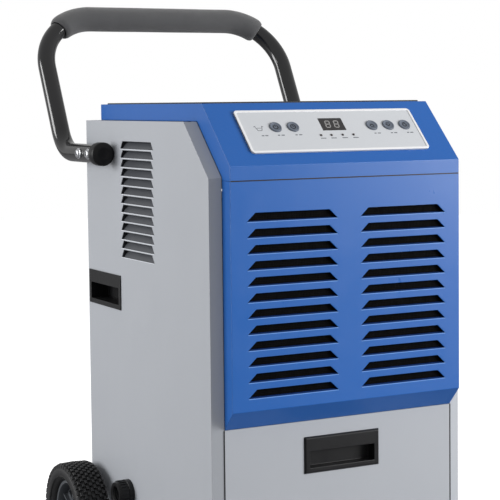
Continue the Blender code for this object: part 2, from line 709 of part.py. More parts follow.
def control_pieces():
    top = PLATE_FACE
    for number, x in enumerate(BUTTON_X, 1):
        face = top + BUTTON_PROUD
        collar = BUTTON_RADIUS + BUTTON_COLLAR
        profile = [(0, BUTTON_FOOT), (collar, BUTTON_FOOT), (collar, -0.0008), (BUTTON_RADIUS, -0.0008),
                   (BUTTON_RADIUS, face - 0.0008), (BUTTON_RADIUS - 0.0012, face),
                   (BUTTON_RADIUS - 0.0035, face - 0.0004), (0, face - 0.0006)]
        shape = on_slope(lathe(profile, "Z", (x, -BUTTON_DOWN, 0), 24))
        piece(f"button_{number}", [shape], BUTTON_GREY, origin=down_slope(x, BUTTON_DOWN, 0), smooth=True)
    lens = box((DISPLAY_X - DISPLAY_WIDTH / 2 + GAP, DISPLAY_X + DISPLAY_WIDTH / 2 - GAP),
               (-DISPLAY_DOWN - DISPLAY_LENGTH / 2 + GAP, -DISPLAY_DOWN + DISPLAY_LENGTH / 2 - GAP),
               (BOARD_FACE + GAP, top - 0.0004))
    piece("display_window", [on_slope(lens)], DISPLAY_BLACK)
    bar = box((LAMP_X[0] - 0.006, LAMP_X[-1] + 0.006), (-LAMP_DOWN - 0.004, -LAMP_DOWN + 0.004),
              (BOARD_FACE + GAP, -0.001))
    guide = piece("lamp_guide", [on_slope(bar)], LAMP_TINT)
    pips = [cylinder(LAMP_RADIUS, (-0.002, top), "Z", (x, -LAMP_DOWN, 0), 12) for x in LAMP_X]
    combine(guide, [on_slope(p) for p in pips], "UNION")
    half_x = PLATE_WIDTH / 2 - PLATE_OVERLAP - 0.002
    half_y = PLATE_LENGTH / 2 - PLATE_OVERLAP
    housing = box((-half_x, half_x), (-PLATE_CENTRE - half_y, -PLATE_CENTRE + half_y),
                  (BOARD_FACE - CONTROL_BOX_DEPTH, BOARD_FACE))
    piece("control_box", [on_slope(housing)], DARK_PLASTIC)


# ---------------------------------------------------------------- door, tank and float
def front_door():
    x = HALF_FRONT
    face = DOOR_DEPTH
    rear = DOOR_DEPTH + DOOR_FLANGE
    inset = 0.012
    verts = [(-x, face, DOOR_BOTTOM), (x, face, DOOR_BOTTOM), (x, face, DOOR_TOP), (-x, face, DOOR_TOP),
             (-x + inset, rear, DOOR_BOTTOM), (x - inset, rear, DOOR_BOTTOM),
             (-x + inset, rear, DOOR_TOP), (x - inset, rear, DOOR_TOP),
             (-x, rear, DOOR_BOTTOM + inset), (-x, rear, DOOR_TOP - inset),
             (x, rear, DOOR_BOTTOM + inset), (x, rear, DOOR_TOP - inset)]
    faces = [(0, 1, 2, 3), (0, 4, 5, 1), (3, 2, 7, 6), (0, 3, 9, 8), (1, 10, 11, 2)]
    door = fold("front_door", [(a, back(b), c) for a, b, c in verts], faces, SHEET, GREY_PAINT)
    through = (back(face - CUT), back(face + CUT))
    hole = box((-PULL_HALF_WIDTH, PULL_HALF_WIDTH), through, (PULL_BOTTOM, PULL_TOP))
    combine(door, [hole], "DIFFERENCE")
    return door


def door_pull():
    """Bevelled black frame with a pocket whose roof slopes back and up behind the frame."""
    rim = PULL_RIM
    front = DOOR_DEPTH - GAP
    x_body = PULL_HALF_WIDTH - GAP
    body = box((-x_body, x_body), (back(front), back(PULL_POCKET_REAR)), (PULL_BOTTOM + GAP, PULL_TOP - GAP))
    pull = piece("door_pull", [body], BLACK_PLASTIC)
    x_rim = PULL_HALF_WIDTH + rim
    taper = 0.003
    frame_verts = []
    for y, draw in ((front + GAP / 2, 0.0), (DOOR_DEPTH - PULL_PROUD, taper)):
        for z in (PULL_BOTTOM - rim + draw, PULL_TOP + rim - draw):
            for x in (-x_rim + draw, x_rim - draw):
                frame_verts.append(Vector((x, back(y), z)))
    combine(pull, [(frame_verts, BOX_FACES)], "UNION")
    mouth_top = PULL_TOP - PULL_HOOD
    inside = [
        (back(DOOR_DEPTH - 0.02), PULL_BOTTOM + 0.006),
        (back(DOOR_DEPTH - 0.02), mouth_top),
        (back(DOOR_DEPTH), mouth_top),
        (back(DOOR_DEPTH + 0.004), PULL_TOP - 0.005),
        (back(PULL_POCKET_REAR - PLASTIC), PULL_TOP - 0.005),
        (back(PULL_POCKET_REAR - PLASTIC), PULL_BOTTOM + 0.006),
    ]
    cavity = prism(inside, "X", (-PULL_HALF_WIDTH + 0.007, PULL_HALF_WIDTH - 0.007))
    combine(pull, [cavity], "DIFFERENCE")
    return pull


def water_tank():
    x = TANK_HALF
    outer = box((-x, x), (back(TANK_FRONT), back(TANK_REAR)), (TANK_BOTTOM, TANK_TOP))
    tank = piece("water_tank", [outer], CLEAR_PLASTIC)
    hollow = box((-x + TANK_WALL, x - TANK_WALL), (back(TANK_FRONT + TANK_WALL), back(TANK_REAR - TANK_WALL)),
                 (TANK_BOTTOM + TANK_WALL, TANK_TOP + 0.05))
    combine(tank, [hollow], "DIFFERENCE")
    return tank


def float_bracket():
    """Two lugs on a plate against the tank's rear wall, which carry the float's pin."""
    plate_rear = TANK_REAR - TANK_WALL - GAP
    plate_front = plate_rear - BRACKET_PLATE
    low = FLOAT_PIVOT[1] - LUG_HALF_HEIGHT
    high = FLOAT_PIVOT[1] + LUG_HALF_HEIGHT
    half = LUG_OFFSET + LUG_THICK
    plate = box((FLOAT_X - half, FLOAT_X + half), (back(plate_front), back(plate_rear)), (low, high))
    bracket = piece("float_bracket", [plate], CLEAR_PLASTIC)
    y_span = (back(FLOAT_PIVOT[0] - LUG_HALF_HEIGHT), back(plate_front + BRACKET_PLATE / 2))
    lugs = []
    for side in (-1, 1):
        near = FLOAT_X + side * LUG_OFFSET
        lugs.append(box((near - LUG_THICK / 2, near + LUG_THICK / 2), y_span, (low, high)))
    combine(bracket, lugs, "UNION")
    spot = (0, back(FLOAT_PIVOT[0]), FLOAT_PIVOT[1])
    drilling = cylinder(FLOAT_PIN_RADIUS + GAP, (FLOAT_X - 0.03, FLOAT_X + 0.03), "X", spot, 16)
    combine(bracket, [drilling], "DIFFERENCE")
    return bracket


def tank_float():
    """Float block on its arm, drawn level and then drooped to its empty position."""
    pivot = (FLOAT_X, back(FLOAT_PIVOT[0]), FLOAT_PIVOT[1])
    reach = FLOAT_ARM
    eye = ring(FLOAT_PIN_RADIUS + GAP, 0.006, (-0.010, 0.010), "X", pivot, 20)
    arm = box((pivot[0] - 0.004, pivot[0] + 0.004), (pivot[1] - reach, pivot[1] - 0.0045),
              (pivot[2] - 0.003, pivot[2] + 0.003))
    block = box((pivot[0] - 0.026, pivot[0] + 0.026), (pivot[1] - reach - 0.045, pivot[1] - reach + 0.001),
                (pivot[2] - 0.014, pivot[2] + 0.014))
    drooped = [turned(p, FLOAT_DROOP, "X", pivot) for p in (eye, arm, block)]
    lever = piece("tank_float", [drooped[0]], FLOAT_ORANGE, origin=pivot)
    combine(lever, [drooped[1]], "UNION")
    combine(lever, [drooped[2]], "UNION")
    piece("float_pin", [cylinder(FLOAT_PIN_RADIUS, (-0.021, 0.021), "X", pivot, 16)], STEEL, smooth=True)


# ---------------------------------------------------------------- push handle
def handle_path():
    """Centre line of the handle tube, from the left end over the grip to the right end."""
    lean = Vector((0, math.sin(HANDLE_LEAN), math.cos(HANDLE_LEAN)))
    rearward = Vector((0, 1, 0))
    knee_turn = math.pi / 2 - HANDLE_LEAN
    tangent = KNEE_RADIUS * math.tan(knee_turn / 2)
    grip_point = Vector((0, back(DEPTH - GRIP_RADIUS), HANDLE_HIGH))
    half = []
    knee = Vector((-HANDLE_X, back(HANDLE_KNEE), HANDLE_LOW))
    half.append(Vector((-HANDLE_X, back(HANDLE_FRONT), HANDLE_LOW)))
    half += [Vector((-HANDLE_X, back(d), HANDLE_LOW)) for d in BOLT_BACK]
    centre = knee - rearward * tangent + Vector((0, 0, KNEE_RADIUS))
    half += arc(centre, Vector((0, 0, -1)), rearward, KNEE_RADIUS, steps(0, knee_turn, 7))
    corner = grip_point + Vector((-HANDLE_X + CORNER_RADIUS, 0, 0)) - lean * CORNER_RADIUS
    wrap = math.pi / 2 - GRIP_WRAP
    half += arc(corner, Vector((-1, 0, 0)), lean, CORNER_RADIUS, steps(0, wrap, 5))
    wrap_end = len(half) - 1
    half += arc(corner, Vector((-1, 0, 0)), lean, CORNER_RADIUS, steps(wrap, math.pi / 2, 4)[1:])
    other = [Vector((-p.x, p.y, p.z)) for p in reversed(half)]
    return half + other, wrap_end


def push_handle():
    path, first = handle_path()
    last = len(path) - 1 - first
    sections = [(0, 0)] + [(TUBE_RADIUS, i) for i in range(len(path))] + [(0, len(path) - 1)]
    tube = piece("handle_tube", [swept(path, sections, 18)], BLACK_GLOSS, smooth=True)
    bores = []
    for side in (-1, 1):
        for depth in BOLT_BACK:
            spot = (side * HANDLE_X, back(depth), HANDLE_LOW)
            bores.append(cylinder(BOLT_RADIUS + GAP, (-0.03, 0.03), "X", spot, 16))
    combine(tube, bores, "DIFFERENCE")
    around = list(range(first, last + 1))
    rim = GRIP_RADIUS - 0.002
    sleeve = [(TUBE_RADIUS + GAP, i) for i in reversed(around)]
    sleeve += [(rim, first)] + [(GRIP_RADIUS, i) for i in around[1:-1]] + [(rim, last)]
    piece("foam_grip", [swept(path, sleeve, 18)], FOAM, smooth=True)
    for side, word in ((-1, "left"), (1, "right")):
        end = back(HANDLE_FRONT)
        bore = TUBE_RADIUS + GAP
        skin = CAP_RADIUS
        rear = end + CAP_LENGTH - CAP_WALL
        front = end - CAP_WALL
        profile = [(0, end - GAP), (bore, end - GAP), (bore, rear), (skin - 0.001, rear),
                   (skin, rear - 0.001), (skin, front + 0.002), (skin - 0.002, front), (0, front)]
        cap = lathe(profile, "Y", (side * HANDLE_X, 0, HANDLE_LOW), 24)
        piece(f"handle_cap_{word}", [cap], BLACK_PLASTIC, smooth=True)
        for number, depth in enumerate(BOLT_BACK, 1):
            seat = HANDLE_X + TUBE_RADIUS + GAP
            inside = HALF_CABINET - SHEET - GAP
            tip = inside - BOLT_TAIL
            nut = inside - NUT_HEIGHT
            profile = [(0, tip), (BOLT_RADIUS, tip), (BOLT_RADIUS, nut), (NUT_RADIUS, nut),
                       (NUT_RADIUS, inside), (BOLT_RADIUS, inside), (BOLT_RADIUS, seat),
                       (BOLT_HEAD_RADIUS, seat), (BOLT_HEAD_RADIUS - 0.0008, seat + 0.0022),
                       (BOLT_HEAD_RADIUS * 0.66, seat + 0.0042), (0, seat + 0.0050)]
            bolt = lathe(profile, "X", (0, back(depth), HANDLE_LOW), 14)
            piece(f"handle_bolt_{word}_{number}", [mirrored(bolt, side)], STEEL, smooth=True)


# ---------------------------------------------------------------- running gear
def wheels():
    spot = (0, back(WHEEL_BACK), WHEEL_RADIUS)
    piece("wheel_axle", [cylinder(AXLE_RADIUS, (-AXLE_END, AXLE_END), "X", spot, 24)], STEEL, smooth=True)
    middle = WHEEL_INNER + TYRE_WIDTH / 2
    half = TYRE_WIDTH / 2
    for side, word in ((-1, "left"), (1, "right")):
        tyre = [(RIM_RADIUS + GAP, middle - half * 0.62), (RIM_RADIUS + 0.006, middle - half * 0.85),
                (WHEEL_RADIUS * 0.84, middle - half), (WHEEL_RADIUS * 0.93, middle - half * 0.92),
                (WHEEL_RADIUS * 0.985, middle - half * 0.70), (WHEEL_RADIUS, middle - half * 0.35),
                (WHEEL_RADIUS, middle + half * 0.35), (WHEEL_RADIUS * 0.985, middle + half * 0.70),
                (WHEEL_RADIUS * 0.93, middle + half * 0.92), (WHEEL_RADIUS * 0.84, middle + half),
                (RIM_RADIUS + 0.006, middle + half * 0.85), (RIM_RADIUS + GAP, middle + half * 0.62)]
        bore = AXLE_RADIUS + GAP
        hub = [(bore, middle - half + 0.004), (0.018, middle - half + 0.004), (0.020, middle - half + 0.012),
               (0.056, middle - 0.006), (0.059, middle - half * 0.60), (RIM_RADIUS, middle - half * 0.60),
               (RIM_RADIUS, middle + half * 0.60), (0.059, middle + half * 0.60), (0.056, middle + 0.002),
               (0.024, middle + 0.006), (0.020, middle + half - 0.004), (bore, middle + half - 0.004)]
        origin = (side * middle, spot[1], spot[2])
        shape = lathe(tyre, "X", spot, 32, closed=True)
        piece(f"tyre_{word}", [mirrored(shape, side)], RUBBER, origin=origin, smooth=True)
        shape = lathe(hub, "X", spot, 32, closed=True)
        rim = piece(f"wheel_hub_{word}", [mirrored(shape, side)], DARK_PLASTIC, origin=origin, smooth=True)
        holes = []
        for turn in steps(0, math.tau * 5 / 6, 5):
            centre = (0, spot[1] + 0.039 * math.cos(turn), spot[2] + 0.039 * math.sin(turn))
            holes.append(mirrored(cylinder(0.010, (middle - half, middle + half), "X", centre, 12), side))
        combine(rim, holes, "DIFFERENCE")
        cap_bore = AXLE_RADIUS + GAP
        near = middle + half - 0.004 + GAP
        profile = [(0, AXLE_END + GAP), (cap_bore, AXLE_END + GAP), (cap_bore, near), (0.0145, near),
                   (0.0145, AXLE_END + 0.001), (0.010, AXLE_END + 0.004), (0, AXLE_END + 0.0045)]
        ending = lathe(profile, "X", spot, 20)
        piece(f"axle_cap_{word}", [mirrored(ending, side)], BLACK_PLASTIC, smooth=True)
        near, far = back(WHEEL_BACK - BRACKET_HALF), back(WHEEL_BACK + BRACKET_HALF)
        top = CABINET_FLOOR - GAP
        chin = WHEEL_RADIUS - BRACKET_BELOW_AXLE
        corner = BRACKET_HALF / 2
        arm = [(near, top), (near, chin + corner), (near + corner, chin), (far - corner, chin),
               (far, chin + corner), (far, top)]
        plate = prism(arm, "X", (BRACKET_X - BRACKET_THICK / 2, BRACKET_X + BRACKET_THICK / 2))
        bracket = piece(f"axle_bracket_{word}", [mirrored(plate, side)], GALVANISED)
        foot_x = (BRACKET_X - BRACKET_FOOT, BRACKET_X + BRACKET_THICK / 2)
        foot = box(foot_x, (near, far), (top - CASTER_PLATE, top))
        combine(bracket, [mirrored(foot, side)], "UNION")
        bore_hole = cylinder(AXLE_RADIUS + GAP, (BRACKET_X - 0.03, BRACKET_X + 0.03), "X", spot, 24)
        combine(bracket, [mirrored(bore_hole, side)], "DIFFERENCE")


def casters():
    top = CABINET_FLOOR - GAP
    under_plate = top - CASTER_PLATE
    for side, word in ((-1, "left"), (1, "right")):
        stem = (side * CASTER_X, back(CASTER_BACK), 0)
        hub = (side * CASTER_X, back(CASTER_BACK + CASTER_TRAIL), CASTER_RADIUS)
        plate_x = (stem[0] - CASTER_PLATE_HALF, stem[0] + CASTER_PLATE_HALF)
        plate = box(plate_x, (stem[1] - 0.026, stem[1] + 0.036), (under_plate, top))
        piece(f"caster_plate_{word}", [plate], STEEL)
        head = under_plate - GAP
        yoke_low = head - 0.016
        yoke = cylinder(0.020, (yoke_low, head), "Z", (stem[0], stem[1], 0), 24)
        fork = piece(f"caster_fork_{word}", [yoke], STEEL, origin=(stem[0], stem[1], head), smooth=True)
        inner = CASTER_WIDTH / 2 + CASTER_CHEEK_GAP
        wide = inner + CASTER_CHEEK
        cheeks = []
        outline = [(stem[1] - 0.015, yoke_low + 0.010), (stem[1] - 0.015, yoke_low - 0.004),
                   (hub[1] - 0.010, CASTER_RADIUS - 0.007), (hub[1] + 0.010, CASTER_RADIUS - 0.007),
                   (hub[1] + 0.012, CASTER_RADIUS + 0.010), (stem[1] + 0.030, yoke_low + 0.010)]
        for edge in (-1, 1):
            cheek_x = (stem[0] + edge * inner, stem[0] + edge * wide)
            cheeks.append(prism(outline, "X", cheek_x))
        bridge = box((stem[0] - wide, stem[0] + wide), (stem[1] - 0.015, stem[1] + 0.030),
                     (yoke_low + 0.004, yoke_low + 0.010))
        combine(fork, [cheeks[0]], "UNION").name = f"fork_cheek_a_{word}"
        combine(fork, [cheeks[1]], "UNION").name = f"fork_cheek_b_{word}"
        combine(fork, [bridge], "UNION").name = f"fork_bridge_{word}"
        bore = cylinder(CASTER_PIN_RADIUS + GAP, (-0.03, 0.03), "X", hub, 20)
        combine(fork, [bore], "DIFFERENCE")
        half = CASTER_WIDTH / 2
        hole = CASTER_PIN_RADIUS + GAP
        profile = [(hole, -half), (0.012, -half), (0.028, -half + 0.002), (0.034, -half + 0.001),
                   (CASTER_RADIUS, -half + 0.005), (CASTER_RADIUS, half - 0.005), (0.034, half - 0.001),
                   (0.028, half - 0.002), (0.012, half), (hole, half)]
        roller = lathe(profile, "X", hub, 24, closed=True)
        piece(f"caster_wheel_{word}", [roller], RUBBER, origin=hub, smooth=True)
        pin = cylinder(CASTER_PIN_RADIUS, (-wide - 0.002, wide + 0.002), "X", hub, 20)
        piece(f"caster_pin_{word}", [pin], STEEL, smooth=True)


# ---------------------------------------------------------------- refrigeration set and fan
def coil(name, span, fins=18):
    """Finned block: a comb section drawn up the height of the coil."""
    half = COIL_HALF
    pitch = 2 * half / fins
    crest, root, rear = back(span[0]), back(span[0] + 0.006), back(span[1])
    outline = [(-half, crest)]
    for fin in range(fins):
        left = -half + fin * pitch
        if fin:
            outline += [(left, root), (left, crest)]
        outline += [(left + pitch / 2, crest), (left + pitch / 2, root)]
    outline += [(half, root), (half, rear), (-half, rear)]
    piece(name, [prism(outline, "Z", (COIL_LOW, COIL_HIGH))], ALUMINIUM)


def drip_tray():
    foot = COIL_LOW - TRAY_HEIGHT
    near, far = TRAY_SPAN
    outer = box((-INNER_HALF, INNER_HALF), (back(near), back(far)), (foot, COIL_LOW - GAP))
    tray = piece("drip_tray", [outer], DARK_PLASTIC)
    inner = INNER_HALF - PLASTIC
    hollow_y = (back(near + PLASTIC), back(far - PLASTIC))
    hollow = box((-inner, inner), hollow_y, (foot + PLASTIC, COIL_LOW + CUT))
    combine(tray, [hollow], "DIFFERENCE")


def fan():
    centre = (0, 0, FAN_HEIGHT)
    ring_radius = FAN_RADIUS + FAN_TIP_GAP
    plate_near = FAN_BACK - 0.022
    wall = box((-INNER_HALF, INNER_HALF), (back(plate_near), back(plate_near + 0.002)),
               (COIL_LOW - TRAY_HEIGHT, COIL_HIGH + 0.008))
    shroud = piece("fan_shroud", [wall], GALVANISED)
    duct = cylinder(ring_radius + 0.003, (back(plate_near + 0.001), back(FAN_BACK + 0.020)), "Y", centre, 32)
    combine(shroud, [duct], "UNION")
    opening = cylinder(ring_radius, (back(plate_near - 0.02), back(FAN_BACK + 0.05)), "Y", centre, 32)
    combine(shroud, [opening], "DIFFERENCE")

    hub_radius = 0.042
    shaft = 0.005
    spot = (0, back(FAN_BACK), FAN_HEIGHT)
    hub = lathe([(shaft + GAP, -0.014), (hub_radius, -0.014), (hub_radius, 0.012), (shaft + GAP, 0.012)],
                "Y", spot, 20, closed=True)
    rotor = piece("fan_impeller", [hub], DARK_PLASTIC, origin=spot)
    blades = []
    for turn in steps(0, math.tau * 4 / 5, 4):
        blade = box((-0.030, 0.030), (spot[1] - 0.00125, spot[1] + 0.00125),
                    (FAN_HEIGHT + hub_radius - 0.006, FAN_HEIGHT + FAN_RADIUS - 0.001))
        pitched = turned(blade, math.radians(26), "Z", spot)
        blades.append(turned(pitched, turn, "Y", spot))
    combine(rotor, blades, "UNION")

    near = FAN_BACK + 0.024
    motor = [(0, FAN_BACK - 0.018), (shaft, FAN_BACK - 0.018), (shaft, near), (0.036, near + 0.002),
             (0.040, near + 0.008), (0.040, near + 0.070), (0.034, near + 0.078), (0, near + 0.078)]
    body = piece("fan_motor", [lathe([(r, back(d)) for r, d in motor], "Y", centre, 20)], STEEL, smooth=True)
    arm = box((-INNER_HALF, INNER_HALF), (back(near + 0.030), back(near + 0.034)),
              (FAN_HEIGHT - 0.014, FAN_HEIGHT + 0.014))
    combine(body, [arm], "UNION")


def compressor():
    floor = CABINET_FLOOR + PAN_WALL + GAP
    wide = COMPRESSOR_RADIUS
    top = floor + COMPRESSOR_HEIGHT
    foot = wide + COMPRESSOR_FOOT
    profile = [(0, floor), (foot, floor), (foot, floor + 0.006), (wide - 0.004, floor + 0.010),
               (wide - 0.002, floor + 0.030), (wide, floor + 0.110), (wide, top - 0.049),
               (wide - 0.008, top - 0.021), (wide * 0.54, top - 0.005), (0, top)]
    spot = (COMPRESSOR_X, back(CABINET_REAR - COMPRESSOR_INSET), 0)
    piece("compressor", [lathe(profile, "Z", spot, 24)], BLACK_PLASTIC, smooth=True)


# ---------------------------------------------------------------- outlets
def drain_collar():
    face = HALF_CABINET + GAP
    bore = DRAIN_RADIUS - DRAIN_WALL
    end = face + DRAIN_LENGTH
    profile = [(bore, face), (DRAIN_RADIUS, face), (DRAIN_RADIUS, end - 0.003), (DRAIN_RADIUS - 0.003, end),
               (bore + 0.002, end), (bore, end - 0.002)]
    shape = lathe(profile, "X", (0, back(DRAIN_BACK), DRAIN_HEIGHT), 24, closed=True)
    piece("drain_collar", [mirrored(shape, -1)], BLACK_PLASTIC, smooth=True)


def cord_gland():
    rear = CABINET_REAR + GAP + SHEET + GAP
    inner = 0.004
    neck = GLAND_RADIUS
    flange = neck + GLAND_FLANGE
    tip = rear + GLAND_LENGTH
    profile = [(inner, rear - 0.014), (neck, rear - 0.014), (neck, rear), (flange, rear),
               (flange, rear + 0.004), (neck, rear + 0.007), (neck - 0.002, tip), (inner, tip)]
    shape = lathe([(r, back(d)) for r, d in profile], "Y", (GLAND_X, 0, GLAND_HEIGHT), 16, closed=True)
    piece("cord_gland", [shape], BLACK_PLASTIC, smooth=True)


side_panel("side_panel_left", -1)
side_panel("side_panel_right", 1)
vent_insert("side_vent_left", -1)
vent_insert("side_vent_right", 1)
side_grip("side_grip_left", -1)
side_grip("side_grip_right", 1)
base_pan()
rear_panel()
top_lid()
front_louvre_panel()
air_filter()
control_plate()
control_pieces()
front_door()
door_pull()
water_tank()
float_bracket()
tank_float()
push_handle()
wheels()
casters()
coil("evaporator", EVAPORATOR_SPAN)
coil("condenser", CONDENSER_SPAN)
drip_tray()
fan()
compressor()
drain_collar()
cord_gland()
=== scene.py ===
"""Looks of a wheeled dehumidifier: finishes, fine pieces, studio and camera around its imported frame.

Metres, +Z up; the front faces -Y. Sizes that the frame holds are read from its nodes' boxes.
"""
import json
import math

import bmesh
import bpy
from mathutils import Matrix, Vector, noise


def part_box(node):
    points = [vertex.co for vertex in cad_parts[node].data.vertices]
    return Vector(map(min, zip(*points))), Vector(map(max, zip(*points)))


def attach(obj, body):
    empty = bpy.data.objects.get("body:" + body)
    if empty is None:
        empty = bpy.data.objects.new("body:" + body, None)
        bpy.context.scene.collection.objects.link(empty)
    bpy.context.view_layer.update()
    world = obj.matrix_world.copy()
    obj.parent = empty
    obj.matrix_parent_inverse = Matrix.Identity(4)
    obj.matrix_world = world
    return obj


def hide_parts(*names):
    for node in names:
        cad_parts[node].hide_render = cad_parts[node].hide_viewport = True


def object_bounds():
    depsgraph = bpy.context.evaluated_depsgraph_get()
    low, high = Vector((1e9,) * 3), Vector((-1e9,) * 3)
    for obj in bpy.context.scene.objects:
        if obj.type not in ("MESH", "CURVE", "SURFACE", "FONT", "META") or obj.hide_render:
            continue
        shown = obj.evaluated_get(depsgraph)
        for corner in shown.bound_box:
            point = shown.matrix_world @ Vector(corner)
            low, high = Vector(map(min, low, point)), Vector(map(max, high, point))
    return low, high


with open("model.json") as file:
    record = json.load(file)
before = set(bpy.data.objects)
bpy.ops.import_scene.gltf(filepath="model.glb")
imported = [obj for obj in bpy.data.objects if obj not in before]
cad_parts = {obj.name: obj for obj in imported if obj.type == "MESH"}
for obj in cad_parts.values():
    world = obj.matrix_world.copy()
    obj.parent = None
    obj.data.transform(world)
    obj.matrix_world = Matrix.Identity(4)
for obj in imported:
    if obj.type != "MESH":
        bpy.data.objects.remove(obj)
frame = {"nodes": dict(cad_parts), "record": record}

frame_low, frame_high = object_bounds()

# ---------------------------------------------------------------- sizes of the fine pieces (metres)
CONTROL_RUN = 0.101             # depth and drop of the 45 degree control slope
TUBE_RADIUS = 0.0175
KNEE_RADIUS = 0.075
CORNER_RADIUS = 0.114
KNEE_STEPS = 18
CORNER_STEPS = 36
HANDLE_LEAN = math.radians(28.4)
GRIP_WRAP = math.radians(40)
PLATE_CORNER = 0.0065
PLATE_RIM = 0.0045              # width of the pale border
CUT_DEPTH = 0.01                # reach of the plate's cutters on each side of it
LABEL_BAR = 0.0021
BUTTON_RADIUS = 0.0108
LAMP_X = (-0.0288, -0.0085, 0.0135, 0.0350)
LAMP_RADIUS = 0.0022
VENT_ROWS = 13
VENT_PITCH = 0.0165
VENT_HEIGHT = 0.0138
VENT_TAPER = 0.010
VENT_FRAME = 0.009
VENT_INSET = 0.0018             # from a side panel's face in to its vent insert
LOUVRE_ROWS = 12
LOUVRE_PITCH = 0.0263
LOUVRE_MARGIN = 0.0295          # from the panel's side to the louvres
LOUVRE_INNER = 0.0224           # from the middle to the louvres
LOUVRE_TOP_MARGIN = 0.0667      # from the panel's top to the first louvre's lower edge
TREAD_ROWS = (-0.0216, -0.0144, -0.0072, 0.0, 0.0072, 0.0144, 0.0216)
TREAD_BLOCKS = 50
ACROSS = Matrix(((0, 0, 1, 0), (1, 0, 0, 0), (0, 1, 0, 0), (0, 0, 0, 1)))   # stands a prism along X
RIM_RADIUS = 0.066
AXLE_BORE = 0.0083
FIT = 0.0003                    # play between a fine piece and what it is pushed onto
BOLT_HEAD = 0.0085
BOLT_HEIGHT = 0.0050
SIDES = {"left": -1, "right": 1}


# ---------------------------------------------------------------- mesh helpers
def vec(x, y, z):
    return Vector((x, y, z))


def measured(node):
    """A node's lowest corner, highest corner and middle."""
    low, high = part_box(node)
    return low, high, (low + high) / 2


def box_part(low, high, finish=0):
    """Closed box between two corners."""
    xs, ys, zs = zip(low, high)
    verts = [vec(x, y, z) for z in zs for y in ys for x in xs]
    faces = [(0, 2, 3, 1), (4, 5, 7, 6), (0, 1, 5, 4), (2, 6, 7, 3), (0, 4, 6, 2), (1, 3, 7, 5)]
    return verts, faces, finish


def prism_part(outline, low, high, finish=0):
    """Closed prism: an outline in X and Y between two heights."""
    count = len(outline)
    verts = [vec(x, y, z) for z in (low, high) for x, y in outline]
    faces = [tuple(reversed(range(count))), tuple(range(count, 2 * count))]
    for i in range(count):
        j = (i + 1) % count
        faces.append((i, j, j + count, i + count))
    return verts, faces, finish


def frame_part(outer, inner, low, high, finish=0):
    """Closed border between two outlines with the same number of points."""
    count = len(outer)
    verts = [vec(x, y, z) for z in (low, high) for line in (outer, inner) for x, y in line]
    faces = []
    for i in range(count):
        j = (i + 1) % count
        faces.append((i, j, j + 2 * count, i + 2 * count))
        faces.append((i + count, i + 3 * count, j + 3 * count, j + count))
        faces.append((i + 2 * count, j + 2 * count, j + 3 * count, i + 3 * count))
        faces.append((i, i + count, j + count, j))
    return verts, faces, finish


def joined_rings(verts, rings, closed, finish):
    """Faces between neighbouring rings of points, and from the last ring to the first when closed."""
    faces = []
    for below, above in zip(rings, rings[1:] + rings[:1] if closed else rings[1:]):
        for step in range(len(below)):
            other = (step + 1) % len(below)
            corners = dict.fromkeys((below[step], below[other], above[other], above[step]))
            faces.append(tuple(corners))
    return verts, faces, finish


def add_ring(verts, centre, first, second, radius, segments):
    """Adds a circle's points, or the one point that stands for it where the radius is nothing."""
    if radius == 0:
        verts.append(centre)
        return [len(verts) - 1] * segments
    turns = [math.tau * step / segments for step in range(segments)]
    verts += [centre + first * radius * math.cos(turn) + second * radius * math.sin(turn) for turn in turns]
    return list(range(len(verts) - segments, len(verts)))


def lathe_part(profile, segments=64, finish=0, closed=False):
    """Turned solid about Z: (radius, height) points, closed to the axis or onto itself."""
    verts = []
    rings = [add_ring(verts, vec(0, 0, height), vec(1, 0, 0), vec(0, 1, 0), radius, segments)
             for radius, height in profile]
    return joined_rings(verts, rings, closed, finish)


def sweep_part(path, sections, segments=48):
    """Solid along a path from (radius, place) sections: closed to the path, or onto itself as a sleeve."""
    last = len(path) - 1
    side = (path[1] - path[0]).normalized().orthogonal().normalized()
    across = []
    for place in range(len(path)):
        tangent = (path[min(place + 1, last)] - path[max(place - 1, 0)]).normalized()
        side = (side - tangent * side.dot(tangent)).normalized()
        across.append((side, tangent.cross(side)))
    verts = []
    rings = [add_ring(verts, path[place].copy(), *across[place], radius, segments)
             for radius, place in sections]
    return joined_rings(verts, rings, sections[0][0] != 0, 0)


def placed(part, matrix):
    verts, faces, finish = part
    return [matrix @ v for v in verts], faces, finish


def along(axis, centre, way=1):
    """Stands a part drawn about Z on another axis, its top towards way."""
    toward = {"X": vec(way, 0, 0), "Y": vec(0, way, 0), "Z": vec(0, 0, way)}[axis]
    return Matrix.Translation(centre) @ toward.to_track_quat("Z", "Y").to_matrix().to_4x4()


def rounded_outline(width, height, radius, steps=8, centre=(0, 0)):
    points = []
    for x, y, start in ((1, 1, 0), (-1, 1, 90), (-1, -1, 180), (1, -1, 270)):
        for step in range(steps + 1):
            turn = math.radians(start + 90 * step / steps)
            points.append((centre[0] + x * (width / 2 - radius) + radius * math.cos(turn),
                           centre[1] + y * (height / 2 - radius) + radius * math.sin(turn)))
    return points


def mesh_of(name, parts):
    mesh = bpy.data.meshes.new(name)
    bm = bmesh.new()
    for verts, faces, finish in parts:
        made = [bm.verts.new(v) for v in verts]
        solid = [bm.faces.new([made[i] for i in face]) for face in faces]
        for face in solid:
            face.material_index = finish
        bmesh.ops.recalc_face_normals(bm, faces=solid)
    bm.to_mesh(mesh)
    bm.free()
    return mesh


def rounded(obj, width):
    """Bevels the sharp edges by width."""
    edge = obj.modifiers.new("rounded_edges", "BEVEL")
    edge.width = width
    edge.segments = 2
    edge.limit_method = "ANGLE"
    edge.angle_limit = math.radians(30)
    edge.use_clamp_overlap = True


